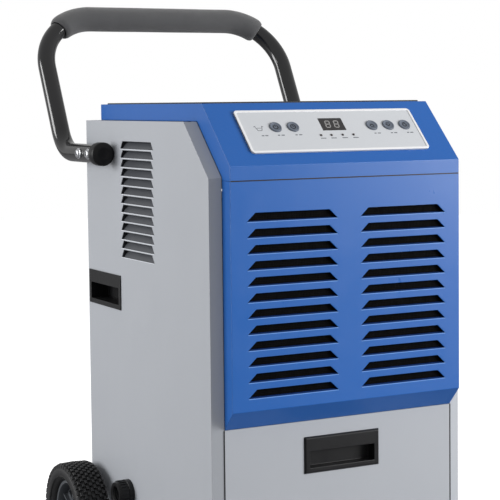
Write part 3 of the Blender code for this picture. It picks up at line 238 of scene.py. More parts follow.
def piece(name, parts, body, slot, stands_for=(), finishes=None, at=Matrix(), edge=0.0, sharp=35,
          origin=(0, 0, 0)):
    """A shown piece made of closed parts, riding on a body, in its slot's finish unless others are given."""
    moved = Matrix.Translation(-Vector(origin)) @ at
    mesh = mesh_of(name, [placed(p, moved) for p in parts])
    made = bpy.data.objects.new(name, mesh)
    bpy.context.scene.collection.objects.link(made)
    made.location = origin
    for finish in finishes or [FINISHES[slot]]:
        mesh.materials.append(finish)
    mesh.shade_smooth()
    mesh.set_sharp_from_angle(angle=math.radians(sharp))
    if edge:
        rounded(made, edge)
    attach(made, body)
    if stands_for:
        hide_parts(*stands_for)
    return made


def cut(target, parts):
    """Cuts closed parts out of a new piece."""
    tool = bpy.data.objects.new("cutter", mesh_of("cutter", parts))
    bpy.context.scene.collection.objects.link(tool)
    change = target.modifiers.new("cut", "BOOLEAN")
    change.operation = "DIFFERENCE"
    change.object = tool
    with bpy.context.temp_override(object=target, active_object=target, selected_objects=[target]):
        bpy.ops.object.modifier_apply(modifier="cut")
    bpy.data.objects.remove(tool, do_unlink=True)


# ---------------------------------------------------------------- shader node helpers
def add(tree, kind, values=None, **settings):
    """A node with its settings, and its inputs given as values or linked from sockets."""
    made = tree.nodes.new(kind)
    for key, value in settings.items():
        setattr(made, key, value)
    for label, value in (values or {}).items():
        socket = made.inputs[label]
        if isinstance(value, bpy.types.NodeSocket):
            tree.links.new(value, socket)
        else:
            socket.default_value = value
    return made


def calc(tree, operation, first, second=0.0, clamp=False):
    return add(tree, "ShaderNodeMath", {0: first, 1: second}, operation=operation, use_clamp=clamp).outputs[0]


def times(tree, first, second, clamp=False):
    return calc(tree, "MULTIPLY", first, second, clamp)


def blend_colour(tree, factor, first, second):
    made = add(tree, "ShaderNodeMix", {0: factor, 6: first, 7: second}, data_type="RGBA")
    return made.outputs[2]


def spread(tree, value, low, high, to_low=0.0, to_high=1.0):
    values = {"Value": value, "From Min": low, "From Max": high, "To Min": to_low, "To Max": to_high}
    return add(tree, "ShaderNodeMapRange", values).outputs["Result"]


def place_on(tree):
    return add(tree, "ShaderNodeTexCoord").outputs["Object"]


def cell_pattern(tree, scale, output="Distance"):
    """Cell pattern with so many cells to the metre."""
    return add(tree, "ShaderNodeTexVoronoi", {"Vector": place_on(tree), "Scale": scale}).outputs[output]


def ribs_along_x(tree, pitch):
    """Even ribs across X, from 0 in a groove to 1 on a crest."""
    across = add(tree, "ShaderNodeSeparateXYZ", {0: place_on(tree)}).outputs["X"]
    return spread(tree, calc(tree, "SINE", times(tree, across, math.tau / pitch)), -1.0, 1.0)


def speckle(tree, vector, size, detail=3.0, rough=0.55):
    """Noise whose patches are about size across; size is a number or a socket."""
    scale = calc(tree, "DIVIDE", 1.0, size)
    values = {"Vector": vector, "Scale": scale, "Detail": detail, "Roughness": rough}
    return add(tree, "ShaderNodeTexNoise", values).outputs["Fac"]


def new_effect(name, inputs, outputs):
    """An empty shared effect with its named inputs and outputs."""
    group = bpy.data.node_groups.new(name, "ShaderNodeTree")
    for label, kind, value in inputs:
        group.interface.new_socket(name=label, in_out="INPUT", socket_type=kind).default_value = value
    for label, kind in outputs:
        group.interface.new_socket(name=label, in_out="OUTPUT", socket_type=kind)
    return group, group.nodes.new("NodeGroupInput").outputs, group.nodes.new("NodeGroupOutput").inputs


FLOAT = "NodeSocketFloat"
COLOUR = "NodeSocketColor"
WHITE = (1, 1, 1, 1)


def colour_drift():
    """Slow patches and a fine speckle that lighten and darken a colour."""
    group, given, result = new_effect(
        "Colour Drift",
        [("Colour", COLOUR, WHITE), ("Amount", FLOAT, 0.05), ("Patch Size", FLOAT, 0.2),
         ("Speck Size", FLOAT, 0.002)],
        [("Colour", COLOUR)])
    where = place_on(group)
    patches = speckle(group, where, given["Patch Size"], 4.0)
    specks = speckle(group, where, given["Speck Size"], 2.0)
    both = calc(group, "ADD", times(group, patches, 0.6), times(group, specks, 0.4))
    shift = times(group, calc(group, "SUBTRACT", both, 0.5), times(group, given["Amount"], 4.0))
    bright = calc(group, "ADD", shift, 1.0)
    scaled = add(group, "ShaderNodeVectorMath", {0: given["Colour"], "Scale": bright}, operation="SCALE")
    group.links.new(scaled.outputs[0], result["Colour"])
    return group


def fine_grain():
    """Height of a fine moulded or sprayed grain."""
    group, given, result = new_effect(
        "Fine Grain", [("Grain Size", FLOAT, 0.001), ("Cell Share", FLOAT, 0.3)], [("Height", FLOAT)])
    soft = speckle(group, place_on(group), given["Grain Size"], 3.0, 0.6)
    pits = cell_pattern(group, calc(group, "DIVIDE", 1.0, given["Grain Size"]))
    group.links.new(calc(group, "ADD", soft, times(group, pits, given["Cell Share"])), result["Height"])
    return group


def patchy_shine():
    """Roughness that wanders between two values in smears and patches."""
    group, given, result = new_effect(
        "Patchy Shine", [("Lowest", FLOAT, 0.3), ("Highest", FLOAT, 0.5), ("Patch Size", FLOAT, 0.05)],
        [("Roughness", FLOAT)])
    where = place_on(group)
    wide = speckle(group, where, given["Patch Size"], 5.0, 0.6)
    smeared = add(group, "ShaderNodeMapping", {"Vector": where, "Scale": (1.0, 1.0, 0.12)}).outputs["Vector"]
    wiped = speckle(group, smeared, times(group, given["Patch Size"], 0.3), 3.0)
    both = calc(group, "ADD", times(group, wide, 0.65), times(group, wiped, 0.35))
    group.links.new(spread(group, both, 0.3, 0.7, given["Lowest"], given["Highest"]), result["Roughness"])
    return group


def masked(group, result, share, given, over):
    """Lays one given colour over another where share is high, by the given amount."""
    mask = times(group, share, given["Amount"], clamp=True)
    group.links.new(blend_colour(group, mask, given["Colour"], given[over]), result["Colour"])
    group.links.new(mask, result["Mask"])


def edge_wear():
    """Patchy rubbing along convex and concave edges."""
    group, given, result = new_effect(
        "Edge Wear",
        [("Colour", COLOUR, WHITE), ("Worn Colour", COLOUR, WHITE), ("Width", FLOAT, 0.001),
         ("Amount", FLOAT, 0.3)],
        [("Colour", COLOUR), ("Mask", FLOAT)])
    bent = add(group, "ShaderNodeBevel", {"Radius": given["Width"]}, samples=4).outputs["Normal"]
    flat = add(group, "ShaderNodeNewGeometry").outputs["Normal"]
    turned = add(group, "ShaderNodeVectorMath", {0: bent, 1: flat}, operation="DOT_PRODUCT").outputs["Value"]
    edge = spread(group, calc(group, "SUBTRACT", 1.0, turned), 0.02, 0.16)
    patches = spread(group, speckle(group, place_on(group), 0.012, 5.0, 0.7), 0.38, 0.62)
    masked(group, result, times(group, edge, patches), given, "Worn Colour")
    return group


def settled_dust():
    """Thin dust on faces that look up."""
    group, given, result = new_effect(
        "Settled Dust",
        [("Colour", COLOUR, WHITE), ("Dust Colour", COLOUR, (0.5, 0.48, 0.45, 1)), ("Amount", FLOAT, 0.1)],
        [("Colour", COLOUR), ("Mask", FLOAT)])
    facing = add(group, "ShaderNodeSeparateXYZ", {0: add(group, "ShaderNodeNewGeometry").outputs["Normal"]})
    up = spread(group, facing.outputs["Z"], 0.25, 1.0)
    specks = spread(group, speckle(group, place_on(group), 0.004, 6.0, 0.75), 0.35, 0.75)
    masked(group, result, times(group, up, specks), given, "Dust Colour")
    return group


def brushed_lines():
    """Height and shade of fine lines drawn along one direction."""
    group, given, result = new_effect(
        "Brushed Lines", [("Stretch", "NodeSocketVector", (1, 1, 0.04)), ("Line Size", FLOAT, 0.0006)],
        [("Height", FLOAT)])
    drawn = add(group, "ShaderNodeMapping", {"Vector": place_on(group)})
    group.links.new(given["Stretch"], drawn.inputs["Scale"])
    group.links.new(speckle(group, drawn.outputs["Vector"], given["Line Size"], 4.0, 0.7), result["Height"])
    return group


DRIFT = colour_drift()
GRAIN = fine_grain()
SHINE = patchy_shine()
WEAR = edge_wear()
DUST = settled_dust()
BRUSH = brushed_lines()


def socket_name(label):
    """Socket's name from a keyword: patch_size is Patch Size."""
    return label.replace("_", " ").title().replace("Ior", "IOR")


class Finish:
    """A material under construction: its shader, and the colour and height on their way to it."""

    def __init__(self, name, colour, metallic=0.0, **constants):
        self.material = bpy.data.materials.new(name)
        self.material.use_nodes = True
        self.material.diffuse_color = (*colour, 1)
        self.tree = self.material.node_tree
        self.shader = self.tree.nodes["Principled BSDF"]
        self.shader.inputs["Metallic"].default_value = metallic
        for label, value in constants.items():
            self.shader.inputs[socket_name(label)].default_value = value
        self.colour = (*colour, 1)
        self.normal = None

    def effect(self, group, **values):
        named = {socket_name(label): value for label, value in values.items()}
        return add(self.tree, "ShaderNodeGroup", named, node_tree=group).outputs

    def drift(self, amount, patch=0.2, speck=0.002):
        values = {"colour": self.colour, "amount": amount, "patch_size": patch, "speck_size": speck}
        self.colour = self.effect(DRIFT, **values)["Colour"]
        return self

    def wear(self, worn, width=0.0009, amount=0.3):
        values = {"colour": self.colour, "worn_colour": (*worn, 1), "width": width, "amount": amount}
        self.colour = self.effect(WEAR, **values)["Colour"]
        return self

    def dust(self, amount, tint=(0.52, 0.51, 0.49)):
        values = {"colour": self.colour, "dust_colour": (*tint, 1), "amount": amount}
        self.colour = self.effect(DUST, **values)["Colour"]
        return self

    def shine(self, lowest, highest, patch=0.05):
        outputs = self.effect(SHINE, lowest=lowest, highest=highest, patch_size=patch)
        self.tree.links.new(outputs["Roughness"], self.shader.inputs["Roughness"])
        return self

    def bump(self, height, depth):
        values = {"Height": height, "Distance": depth, "Strength": 1.0}
        if self.normal is not None:
            values["Normal"] = self.normal
        self.normal = add(self.tree, "ShaderNodeBump", values).outputs["Normal"]
        return self

    def grain(self, size, depth, cells=0.3):
        return self.bump(self.effect(GRAIN, grain_size=size, cell_share=cells)["Height"], depth)

    def brushed(self, stretch, size, depth):
        return self.bump(self.effect(BRUSH, stretch=stretch, line_size=size)["Height"], depth)

    def done(self):
        if isinstance(self.colour, bpy.types.NodeSocket):
            self.tree.links.new(self.colour, self.shader.inputs["Base Color"])
        else:
            self.shader.inputs["Base Color"].default_value = self.colour
        if self.normal is not None:
            self.tree.links.new(self.normal, self.shader.inputs["Normal"])
        return self.material


# ---------------------------------------------------------------- finishes
def grey_powder_coat(name="grey_powder_coat", colour=(0.445, 0.465, 0.500)):
    """Sprayed powder coat with a faint orange peel."""
    made = Finish(name, colour)
    made.drift(0.016, 0.30, 0.0016).wear((0.62, 0.64, 0.67), 0.0010, 0.35).dust(0.05)
    made.shine(0.36, 0.48, 0.08)
    made.grain(0.0028, 0.00006, 0.1).grain(0.0007, 0.00002, 0.2)
    return made.done()


def blue_moulding(name="blue_moulding", colour=(0.008, 0.117, 0.450)):
    """Satin blue cover plastic with a fine eroded texture."""
    made = Finish(name, colour)
    made.drift(0.030, 0.22, 0.0012).wear((0.16, 0.32, 0.66), 0.0012, 0.35).dust(0.03)
    made.shine(0.26, 0.38, 0.06)
    made.grain(0.0008, 0.00002, 0.4)
    return made.done()


def black_moulding():
    made = Finish("black_moulding", (0.006, 0.006, 0.007), specular_ior_level=0.3)
    made.drift(0.10, 0.06, 0.0009).wear((0.06, 0.06, 0.062), 0.0008, 0.5).dust(0.02)
    made.shine(0.30, 0.46, 0.03)
    made.grain(0.0010, 0.00005, 0.6)
    return made.done()


def black_gloss_paint():
    """Stoved gloss enamel on the bent tube."""
    made = Finish("black_gloss_enamel", (0.010, 0.010, 0.011), coat_weight=0.35, coat_roughness=0.06)
    made.drift(0.08, 0.05, 0.0010).wear((0.07, 0.07, 0.07), 0.0010, 0.3).dust(0.015)
    made.shine(0.09, 0.17, 0.05)
    made.grain(0.0040, 0.00010, 0.0).grain(0.0009, 0.00002, 0.1)
    return made.done()


def dark_moulding(name="charcoal_moulding", colour=(0.075, 0.082, 0.092)):
    made = Finish(name, colour)
    made.drift(0.08, 0.05, 0.0010).wear((0.16, 0.165, 0.17), 0.0008, 0.3).dust(0.06)
    made.shine(0.36, 0.52, 0.03)
    made.grain(0.0009, 0.00004, 0.5)
    return made.done()


def bright_steel():
    made = Finish("bright_zinc_plate", (0.66, 0.67, 0.69), metallic=1.0)
    made.drift(0.10, 0.01, 0.0006).shine(0.16, 0.32, 0.012)
    made.brushed((1.0, 1.0, 0.05), 0.0004, 0.00002)
    return made.done()


def galvanised_steel():
    """Zinc spangle: crystals of slightly different grey."""
    made = Finish("galvanised_sheet", (0.48, 0.50, 0.52), metallic=0.9)
    tone = add(made.tree, "ShaderNodeSeparateColor", {0: cell_pattern(made.tree, 90.0, "Color")}).outputs[0]
    shade = spread(made.tree, tone, 0.0, 1.0)
    made.colour = blend_colour(made.tree, shade, (0.38, 0.40, 0.42, 1), (0.58, 0.60, 0.62, 1))
    made.drift(0.05, 0.05, 0.0010).dust(0.08)
    made.tree.links.new(spread(made.tree, tone, 0.0, 1.0, 0.30, 0.48), made.shader.inputs["Roughness"])
    made.grain(0.0012, 0.00003, 0.2)
    return made.done()


def coil_fins():
    """Stacked aluminium fins, 1.8 mm apart, as fine ribs up the coil, dark in the grooves as painted shade
    between the fins.
    """
    made = Finish("coil_fins", (0.66, 0.68, 0.70), metallic=1.0)
    ribs = ribs_along_x(made.tree, 0.0018)
    # grooves coloured dark, crests light: painted shade between the fins
    made.colour = blend_colour(made.tree, ribs, (0.20, 0.21, 0.22, 1), (0.74, 0.76, 0.78, 1))
    made.drift(0.08, 0.04, 0.0010).shine(0.25, 0.42, 0.02)
    made.bump(ribs, 0.0004)
    return made.done()


def tyre_rubber():
    made = Finish("tyre_rubber", (0.010, 0.010, 0.011))
    made.drift(0.20, 0.03, 0.0011).wear((0.09, 0.088, 0.085), 0.0012, 0.9).dust(0.05, (0.30, 0.28, 0.26))
    made.shine(0.38, 0.60, 0.02)
    made.grain(0.0011, 0.00010, 0.5)
    return made.done()


def grip_foam():
    """Closed-cell foam: a skin of small open pores, darker in their pits as painted shade."""
    made = Finish("grip_foam", (0.060, 0.060, 0.062), sheen_weight=0.35, sheen_roughness=0.5)
    rim = spread(made.tree, cell_pattern(made.tree, 1 / 0.0011), 0.05, 0.55)
    # pits coloured darker than their rims: painted shade in the pores
    made.colour = blend_colour(made.tree, rim, (0.028, 0.028, 0.030, 1), (0.098, 0.099, 0.103, 1))
    made.drift(0.12, 0.03, 0.0009).dust(0.08)
    made.shine(0.80, 0.95, 0.02)
    made.bump(rim, 0.00035).bump(cell_pattern(made.tree, 1 / 0.0005), 0.00012)
    return made.done()


def tank_plastic():
    """Milky blow-moulded plastic."""
    made = Finish("milky_tank_plastic", (0.66, 0.71, 0.75), subsurface_weight=0.25, subsurface_scale=0.01)
    made.drift(0.04, 0.08, 0.0015).wear((0.80, 0.84, 0.87), 0.0015, 0.3)
    made.shine(0.26, 0.42, 0.04)
    made.grain(0.0016, 0.00004, 0.2)
    return made.done()


def plate_overlay(name="plate_overlay", colour=(0.64, 0.66, 0.69), rough=(0.30, 0.42)):
    """Printed film over the control plate, with a faint velvet texture."""
    made = Finish(name, colour)
    made.drift(0.014, 0.08, 0.0006).dust(0.02)
    made.shine(*rough, 0.03)
    made.grain(0.0006, 0.00001, 0.3)
    return made.done()


def button_plastic(name="button_plastic", colour=(0.135, 0.158, 0.200), mottle=0.10):
    made = Finish(name, colour)
    made.drift(mottle, 0.004, 0.0008).wear((0.26, 0.29, 0.34), 0.0005, 0.3)
    made.shine(0.34, 0.50, 0.008)
    made.grain(0.0006, 0.00003, 0.4)
    return made.done()


def display_glass():
    made = Finish("smoked_display", (0.020, 0.018, 0.019), coat_weight=0.4, coat_roughness=0.05)
    made.drift(0.10, 0.01, 0.0006).shine(0.08, 0.16, 0.01)
    made.grain(0.0010, 0.000004, 0.0)
    return made.done()


def digit_segments():
    """Unlit segments: pale strips behind the smoked window."""
    made = Finish("digit_segments", (0.34, 0.335, 0.33))
    made.drift(0.10, 0.004, 0.0004).shine(0.30, 0.45, 0.004)
    made.grain(0.0005, 0.00001, 0.2)
    return made.done()


def lamp_plastic():
    made = Finish("tinted_lamp", (0.030, 0.016, 0.016), coat_weight=0.5, coat_roughness=0.05)
    made.drift(0.15, 0.002, 0.0004).shine(0.10, 0.22, 0.002)
    made.grain(0.0006, 0.00001, 0.1)
    return made.done()


def float_plastic():
    made = Finish("orange_float", (0.72, 0.26, 0.035))
    made.drift(0.06, 0.02, 0.0010).wear((0.88, 0.44, 0.12), 0.0010, 0.3)
    made.shine(0.34, 0.50, 0.02)
    made.grain(0.0010, 0.00004, 0.4)
    return made.done()


def filter_mesh():
    """Woven nylon net on its frame."""
    made = Finish("filter_net", (0.002, 0.002, 0.0025), specular_ior_level=0.06)
    made.drift(0.25, 0.05, 0.0008)
    made.shine(0.55, 0.80, 0.01)
    made.grain(0.0006, 0.00006, 0.3)
    return made.done()


def ribbed_mat():
    made = Finish("ribbed_mat", (0.020, 0.021, 0.024))
    made.drift(0.15, 0.05, 0.0010).dust(0.08)
    made.shine(0.50, 0.70, 0.03)
    made.bump(ribs_along_x(made.tree, 0.003), 0.0003)
    made.grain(0.0008, 0.00005, 0.5)
    return made.done()


FINISHES = {
    "grey_paint": grey_powder_coat(),
    "blue_lid": blue_moulding(),
    "black_moulding": black_moulding(),
    "black_gloss_paint": black_gloss_paint(),
    "dark_moulding": dark_moulding(),
    "bright_steel": bright_steel(),
    "galvanised_steel": galvanised_steel(),
    "coil_aluminium": coil_fins(),
    "tyre_rubber": tyre_rubber(),
    "foam": grip_foam(),
    "tank_plastic": tank_plastic(),
    "control_plate": plate_overlay(),
    "button_plastic": button_plastic(),
    "display_window": display_glass(),
    "lamp_plastic": lamp_plastic(),
    "float_plastic": float_plastic(),
    "filter_mesh": filter_mesh(),
}
PLATE_BORDER = plate_overlay("plate_border", (0.90, 0.90, 0.91), (0.20, 0.30))
PRINTED_MARK = plate_overlay("printed_mark", (0.10, 0.11, 0.13), (0.35, 0.45))
FAINT_MARK = plate_overlay("faint_mark", (0.13, 0.14, 0.16), (0.35, 0.45))
BUTTON_SIGN = button_plastic("button_sign", (0.008, 0.010, 0.014), 0.14)
DIGITS = digit_segments()
BLADE_PLASTIC = dark_moulding("vent_blade", (0.062, 0.067, 0.078))
# lighter and darker copies of the blue for the louvre lips: a painted highlight line and painted shade
BLUE_PAINTED_HIGHLIGHT = blue_moulding("blue_painted_highlight", (0.16, 0.36, 0.80))
BLUE_PAINTED_SHADE = blue_moulding("blue_painted_shade", (0.005, 0.040, 0.210))
# light grey copy of the paint, a painted highlight line under the side slots
GREY_PAINTED_HIGHLIGHT = grey_powder_coat("grey_painted_highlight", (0.72, 0.75, 0.80))
MAT_RUBBER = ribbed_mat()

CAMERA_PLACE = (-1.3487, -2.6064, 0.8834)
CAMERA_TURNS = (27.692, 3.653, -0.6097)     # yaw, pitch and roll in degrees
CAMERA_LENS = 111.57
FLOOR_RADIUS = 9.0
FLOOR_GLOW = 0.6
LIGHT_AIM = vec(0, 0, 0.55)     # the middle of the cabinet
SURROUNDINGS = (0.50, 0.50, 0.50, 1)
SOFTBOXES = (                   # name, place, size, watts
    ("left_rear_softbox", (-4.0, 1.6, 1.4), 2.2, 116.0),
    ("front_right_softbox", (3.2, -3.0, 1.5), 2.2, 167.0),
)

# ---------------------------------------------------------------- nodes kept from the frame
for entry in frame["record"]["subparts"]:
    kept = frame["nodes"][entry["node"]]
    kept.data.materials.clear()
    kept.data.materials.append(FINISHES[entry["material_slot"]])


def finely_edged(node, width):
    """Joins a kept node's coincident points, makes its flat faces whole and rounds its sharp edges."""
    kept = frame["nodes"][node]
    weld = kept.modifiers.new("weld", "WELD")
    weld.merge_threshold = 0.00002
    flats = kept.modifiers.new("whole_flats", "DECIMATE")
    flats.decimate_type = "DISSOLVE"
    flats.angle_limit = math.radians(0.6)
    rounded(kept, width)


for node, width in {
    "side_panel_left": 0.0006, "side_panel_right": 0.0006, "rear_panel": 0.0006, "top_lid": 0.0008,
    "front_louvre_panel": 0.0007, "front_door": 0.0006, "door_pull": 0.0009, "side_grip_left": 0.0008,
    "side_grip_right": 0.0008, "base_pan": 0.0006, "water_tank": 0.0012, "tank_float": 0.0012,
    "axle_bracket_left": 0.0006, "axle_bracket_right": 0.0006, "drip_tray": 0.0006, "float_bracket": 0.0005,
}.items():
    finely_edged(node, width)


# ---------------------------------------------------------------- push handle
def handle_line():
    """Centre line of the handle from left end to right end, the foam's first place and its radius."""
    low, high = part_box("handle_tube")
    grip_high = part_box("foam_grip")[1]
    grip_radius = (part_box("foam_grip")[1].z - high.z) + TUBE_RADIUS
    reach = high.x - TUBE_RADIUS
    foot = low.z + TUBE_RADIUS
    lean = vec(0, math.sin(HANDLE_LEAN), math.cos(HANDLE_LEAN))
    grip = vec(0, grip_high.y - grip_radius, grip_high.z - grip_radius)
    knee_y = grip.y - (grip.z - foot) * math.tan(HANDLE_LEAN)
    turn = math.pi / 2 - HANDLE_LEAN
    centre = vec(-reach, knee_y - KNEE_RADIUS * math.tan(turn / 2), foot + KNEE_RADIUS)
    half = [vec(-reach, low.y, foot)]
    half += [vec(-reach, low.y + (centre.y - low.y) * share, foot) for share in (0.004, 0.3, 0.6)]
    for step in range(KNEE_STEPS + 1):
        angle = turn * step / KNEE_STEPS
        half.append(centre + vec(0, math.sin(angle), -math.cos(angle)) * KNEE_RADIUS)
    corner = grip + vec(-reach + CORNER_RADIUS, 0, 0) - lean * CORNER_RADIUS
    start = len(half)
    for step in range(CORNER_STEPS + 1):
        angle = math.pi / 2 * step / CORNER_STEPS
        across = vec(-CORNER_RADIUS * math.cos(angle), 0, 0)
        half.append(corner + across + lean * CORNER_RADIUS * math.sin(angle))
    foam_from = start + round((math.pi / 2 - GRIP_WRAP) / (math.pi / 2) * CORNER_STEPS)
    bar = [vec(x, half[-1].y, half[-1].z) for x in (-0.12, -0.09, -0.06, -0.03, 0.0)]
    line = half + bar + [vec(-p.x, p.y, p.z) for p in reversed(half + bar[:-1])]
    return line, foam_from, grip_radius


def handle_tube(line):
    last = len(line) - 1
    sections = [(0, 0), (TUBE_RADIUS - 0.001, 0), (TUBE_RADIUS, 1)]
    sections += [(TUBE_RADIUS, i) for i in range(2, last - 1)]
    sections += [(TUBE_RADIUS, last - 1), (TUBE_RADIUS - 0.001, last), (0, last)]
    piece("bent_handle_tube", [sweep_part(line, sections)], "cabinet", "black_gloss_paint", ["handle_tube"])


def foam_sleeve(line, first, radius):
    """Foam sleeve with rolled ends and a surface that isn't quite even."""
    last = len(line) - 1 - first
    sleeve = [(TUBE_RADIUS + FIT, i) for i in range(last, first - 1, -1)]
    sleeve += [(radius - 0.0045, first), (radius - 0.0012, first + 1)]
    sleeve += [(radius, i) for i in range(first + 2, last - 1)]
    sleeve += [(radius - 0.0012, last - 1), (radius - 0.0045, last)]
    grip = piece("foam_sleeve", [sweep_part(line, sleeve, 64)], "cabinet", "foam", ["foam_grip"], sharp=70)
    finer = grip.modifiers.new("finer", "SUBSURF")
    finer.levels = 1
    finer.render_levels = 1
    for vertex in grip.data.vertices:
        waviness = noise.noise(vertex.co * 55.0) * 0.00025 + noise.noise(vertex.co * 210.0) * 0.00012
        vertex.co += vertex.normal * waviness


def tube_ends():
    """Domed plugs over the tube's open ends, with a shallow ring pressed into the face."""
    for side in SIDES:
        low, high, middle = measured(f"handle_cap_{side}")
        radius = (high.x - low.x) / 2
        length = high.y - low.y
        bore = TUBE_RADIUS + FIT
        profile = [(0, 0.0012), (radius * 0.45, 0.0008), (radius * 0.50, 0.0014), (radius * 0.58, 0.0012),
                   (radius * 0.86, 0.0), (radius - 0.0008, -0.0010), (radius, -0.0026),
                   (radius, -length + 0.002), (radius - 0.0004, -length + 0.0008),
                   (radius - 0.0015, -length + 0.0002), (bore, -length + 0.0002), (bore, -0.004), (0, -0.004)]
        front = vec(middle.x, low.y + 0.0014, middle.z)
        piece(f"tube_plug_{side}", [lathe_part(profile, 72)], "cabinet", "black_moulding",
              [f"handle_cap_{side}"], at=along("Y", front, -1), sharp=50)


def socket_screw(head, height, shank, length):
    """Button-head screw with a hexagonal socket, standing along Z on its seat at 0."""
    profile = [(0, -length), (shank, -length), (shank, 0.0), (head, 0.0), (head, height * 0.25)]
    for step in range(1, 7):
        turn = math.radians(15 * step)
        profile.append((head * (0.55 + 0.45 * math.cos(turn)), height * (0.25 + 0.75 * math.sin(turn))))
    profile += [(head * 0.42, height), (head * 0.36, height * 0.35), (0, height * 0.30)]
    return lathe_part(profile, 48)


def handle_bolts():
    """Socket bolt, washer and nut for each of the two holes on each side."""
    for side, way in SIDES.items():
        for number in (1, 2):
            low, high, spot = measured(f"handle_bolt_{side}_{number}")
            outside, inside = (low.x, high.x) if way < 0 else (high.x, low.x)
            seat = along("X", vec(outside - way * BOLT_HEIGHT, spot.y, spot.z), way)
            shank = high.x - low.x - BOLT_HEIGHT - 0.0002
            washer = [(0.0042, 0.0), (BOLT_HEAD + 0.0016, 0.0), (BOLT_HEAD + 0.0018, 0.0006),
                      (BOLT_HEAD + 0.0012, 0.0010), (0.0042, 0.0010)]
            nut = [(0.0039, 0), (0.0066, 0), (0.0066, 0.0055), (0.0039, 0.0055)]
            nut_seat = along("X", vec(inside + way * 0.0023, spot.y, spot.z), way)
            parts = [placed(socket_screw(BOLT_HEAD, BOLT_HEIGHT, 0.0038, shank), seat),
                     placed(lathe_part(washer, 48, closed=True), seat),
                     placed(lathe_part(nut, 6, closed=True), nut_seat)]
            piece(f"socket_bolt_{side}_{number}", parts, "cabinet", "bright_steel",
                  [f"handle_bolt_{side}_{number}"])


line, foam_from, grip_radius = handle_line()
handle_tube(line)
foam_sleeve(line, foam_from, grip_radius)
tube_ends()
handle_bolts()


# ---------------------------------------------------------------- control slope
lid_low, lid_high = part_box("top_lid")
SLOPE_TOP = vec(0, lid_low.y + CONTROL_RUN, lid_high.z)
ON_SLOPE = Matrix.Translation(SLOPE_TOP) @ Matrix.Rotation(math.radians(45), 4, "X")
FROM_SLOPE = ON_SLOPE.inverted()


def slope_spot(node):
    """A node's middle, in the slope's own X across, Y up the slope, Z outwards."""
    return FROM_SLOPE @ measured(node)[2]


def slope_span(node):
    """Lowest and highest corners of a node in the slope's own directions."""
    points = [FROM_SLOPE @ v.co for v in frame["nodes"][node].data.vertices]
    return [Vector([pick(p[axis] for p in points) for axis in range(3)]) for pick in (min, max)]


def bar(x, y, length, width, low, high, finish, tilt=0.0):
    """Printed or raised bar: a rounded strip, its middle at x and y."""
    strip = prism_part(rounded_outline(length, width, width * 0.49, 3), low, high, finish)
    return placed(strip, Matrix.Translation((x, y, 0)) @ Matrix.Rotation(tilt, 4, "Z"))


def hoop(x, y, radius, width, low, high, finish, start=0.0, sweep=math.tau, steps=28):
    """Flat arc or ring."""
    whole = sweep >= math.tau
    count = steps if whole else steps + 1
    angles = [start + sweep * i / steps for i in range(count)]
    outer = [(x + (radius + width / 2) * math.cos(a), y + (radius + width / 2) * math.sin(a)) for a in angles]
    inner = [(x + (radius - width / 2) * math.cos(a), y + (radius - width / 2) * math.sin(a)) for a in angles]
    if whole:
        return frame_part(outer, inner, low, high, finish)
    return prism_part(outer + inner[::-1], low, high, finish)


def hole_through(x, y, radius, segments):
    """Round cutter through the plate at x and y on the slope."""
    outline = [(0, -CUT_DEPTH), (radius, -CUT_DEPTH), (radius, CUT_DEPTH), (0, CUT_DEPTH)]
    cutter = lathe_part(outline, segments)
    return placed(cutter, ON_SLOPE @ Matrix.Translation((x, y, 0)))


def control_fascia():
    """Plate under a printed film, cut for its keys, display and lamps, with a raised pale border."""
    low, high = slope_span("control_plate")
    width, length = high.x - low.x, high.y - low.y
    middle = ((low.x + high.x) / 2, (low.y + high.y) / 2)
    face = high.z - 0.0006
    outer = rounded_outline(width, length, PLATE_CORNER, 10, middle)
    inner_corner = PLATE_CORNER - PLATE_RIM
    inner = rounded_outline(width - 2 * PLATE_RIM, length - 2 * PLATE_RIM, inner_corner, 10, middle)
    made = piece("control_fascia", [prism_part(outer, low.z, face)], "cabinet", "control_plate",
                 ["control_plate"], at=ON_SLOPE, sharp=20)
    buttons = [slope_spot(f"button_{number}") for number in range(1, 6)]
    lamp_y = slope_spot("lamp_guide").y
    glass_low, glass_high = slope_span("display_window")
    window = box_part((glass_low.x - FIT, glass_low.y - FIT, -CUT_DEPTH),
                      (glass_high.x + FIT, glass_high.y + FIT, CUT_DEPTH))
    holes = [hole_through(spot.x, spot.y, BUTTON_RADIUS + 0.0004, 64) for spot in buttons]
    holes.append(placed(window, ON_SLOPE))
    holes += [hole_through(x, lamp_y, LAMP_RADIUS + 0.0002, 32) for x in LAMP_X]
    cut(made, holes)

    piece("plate_border", [frame_part(outer, inner, low.z + 0.0002, high.z + 0.0004)], "cabinet",
          "control_plate", finishes=[PLATE_BORDER], at=ON_SLOPE, edge=0.0006, sharp=25)
    plate_printing(buttons, lamp_y, (face - 0.0003, face + 0.00006))


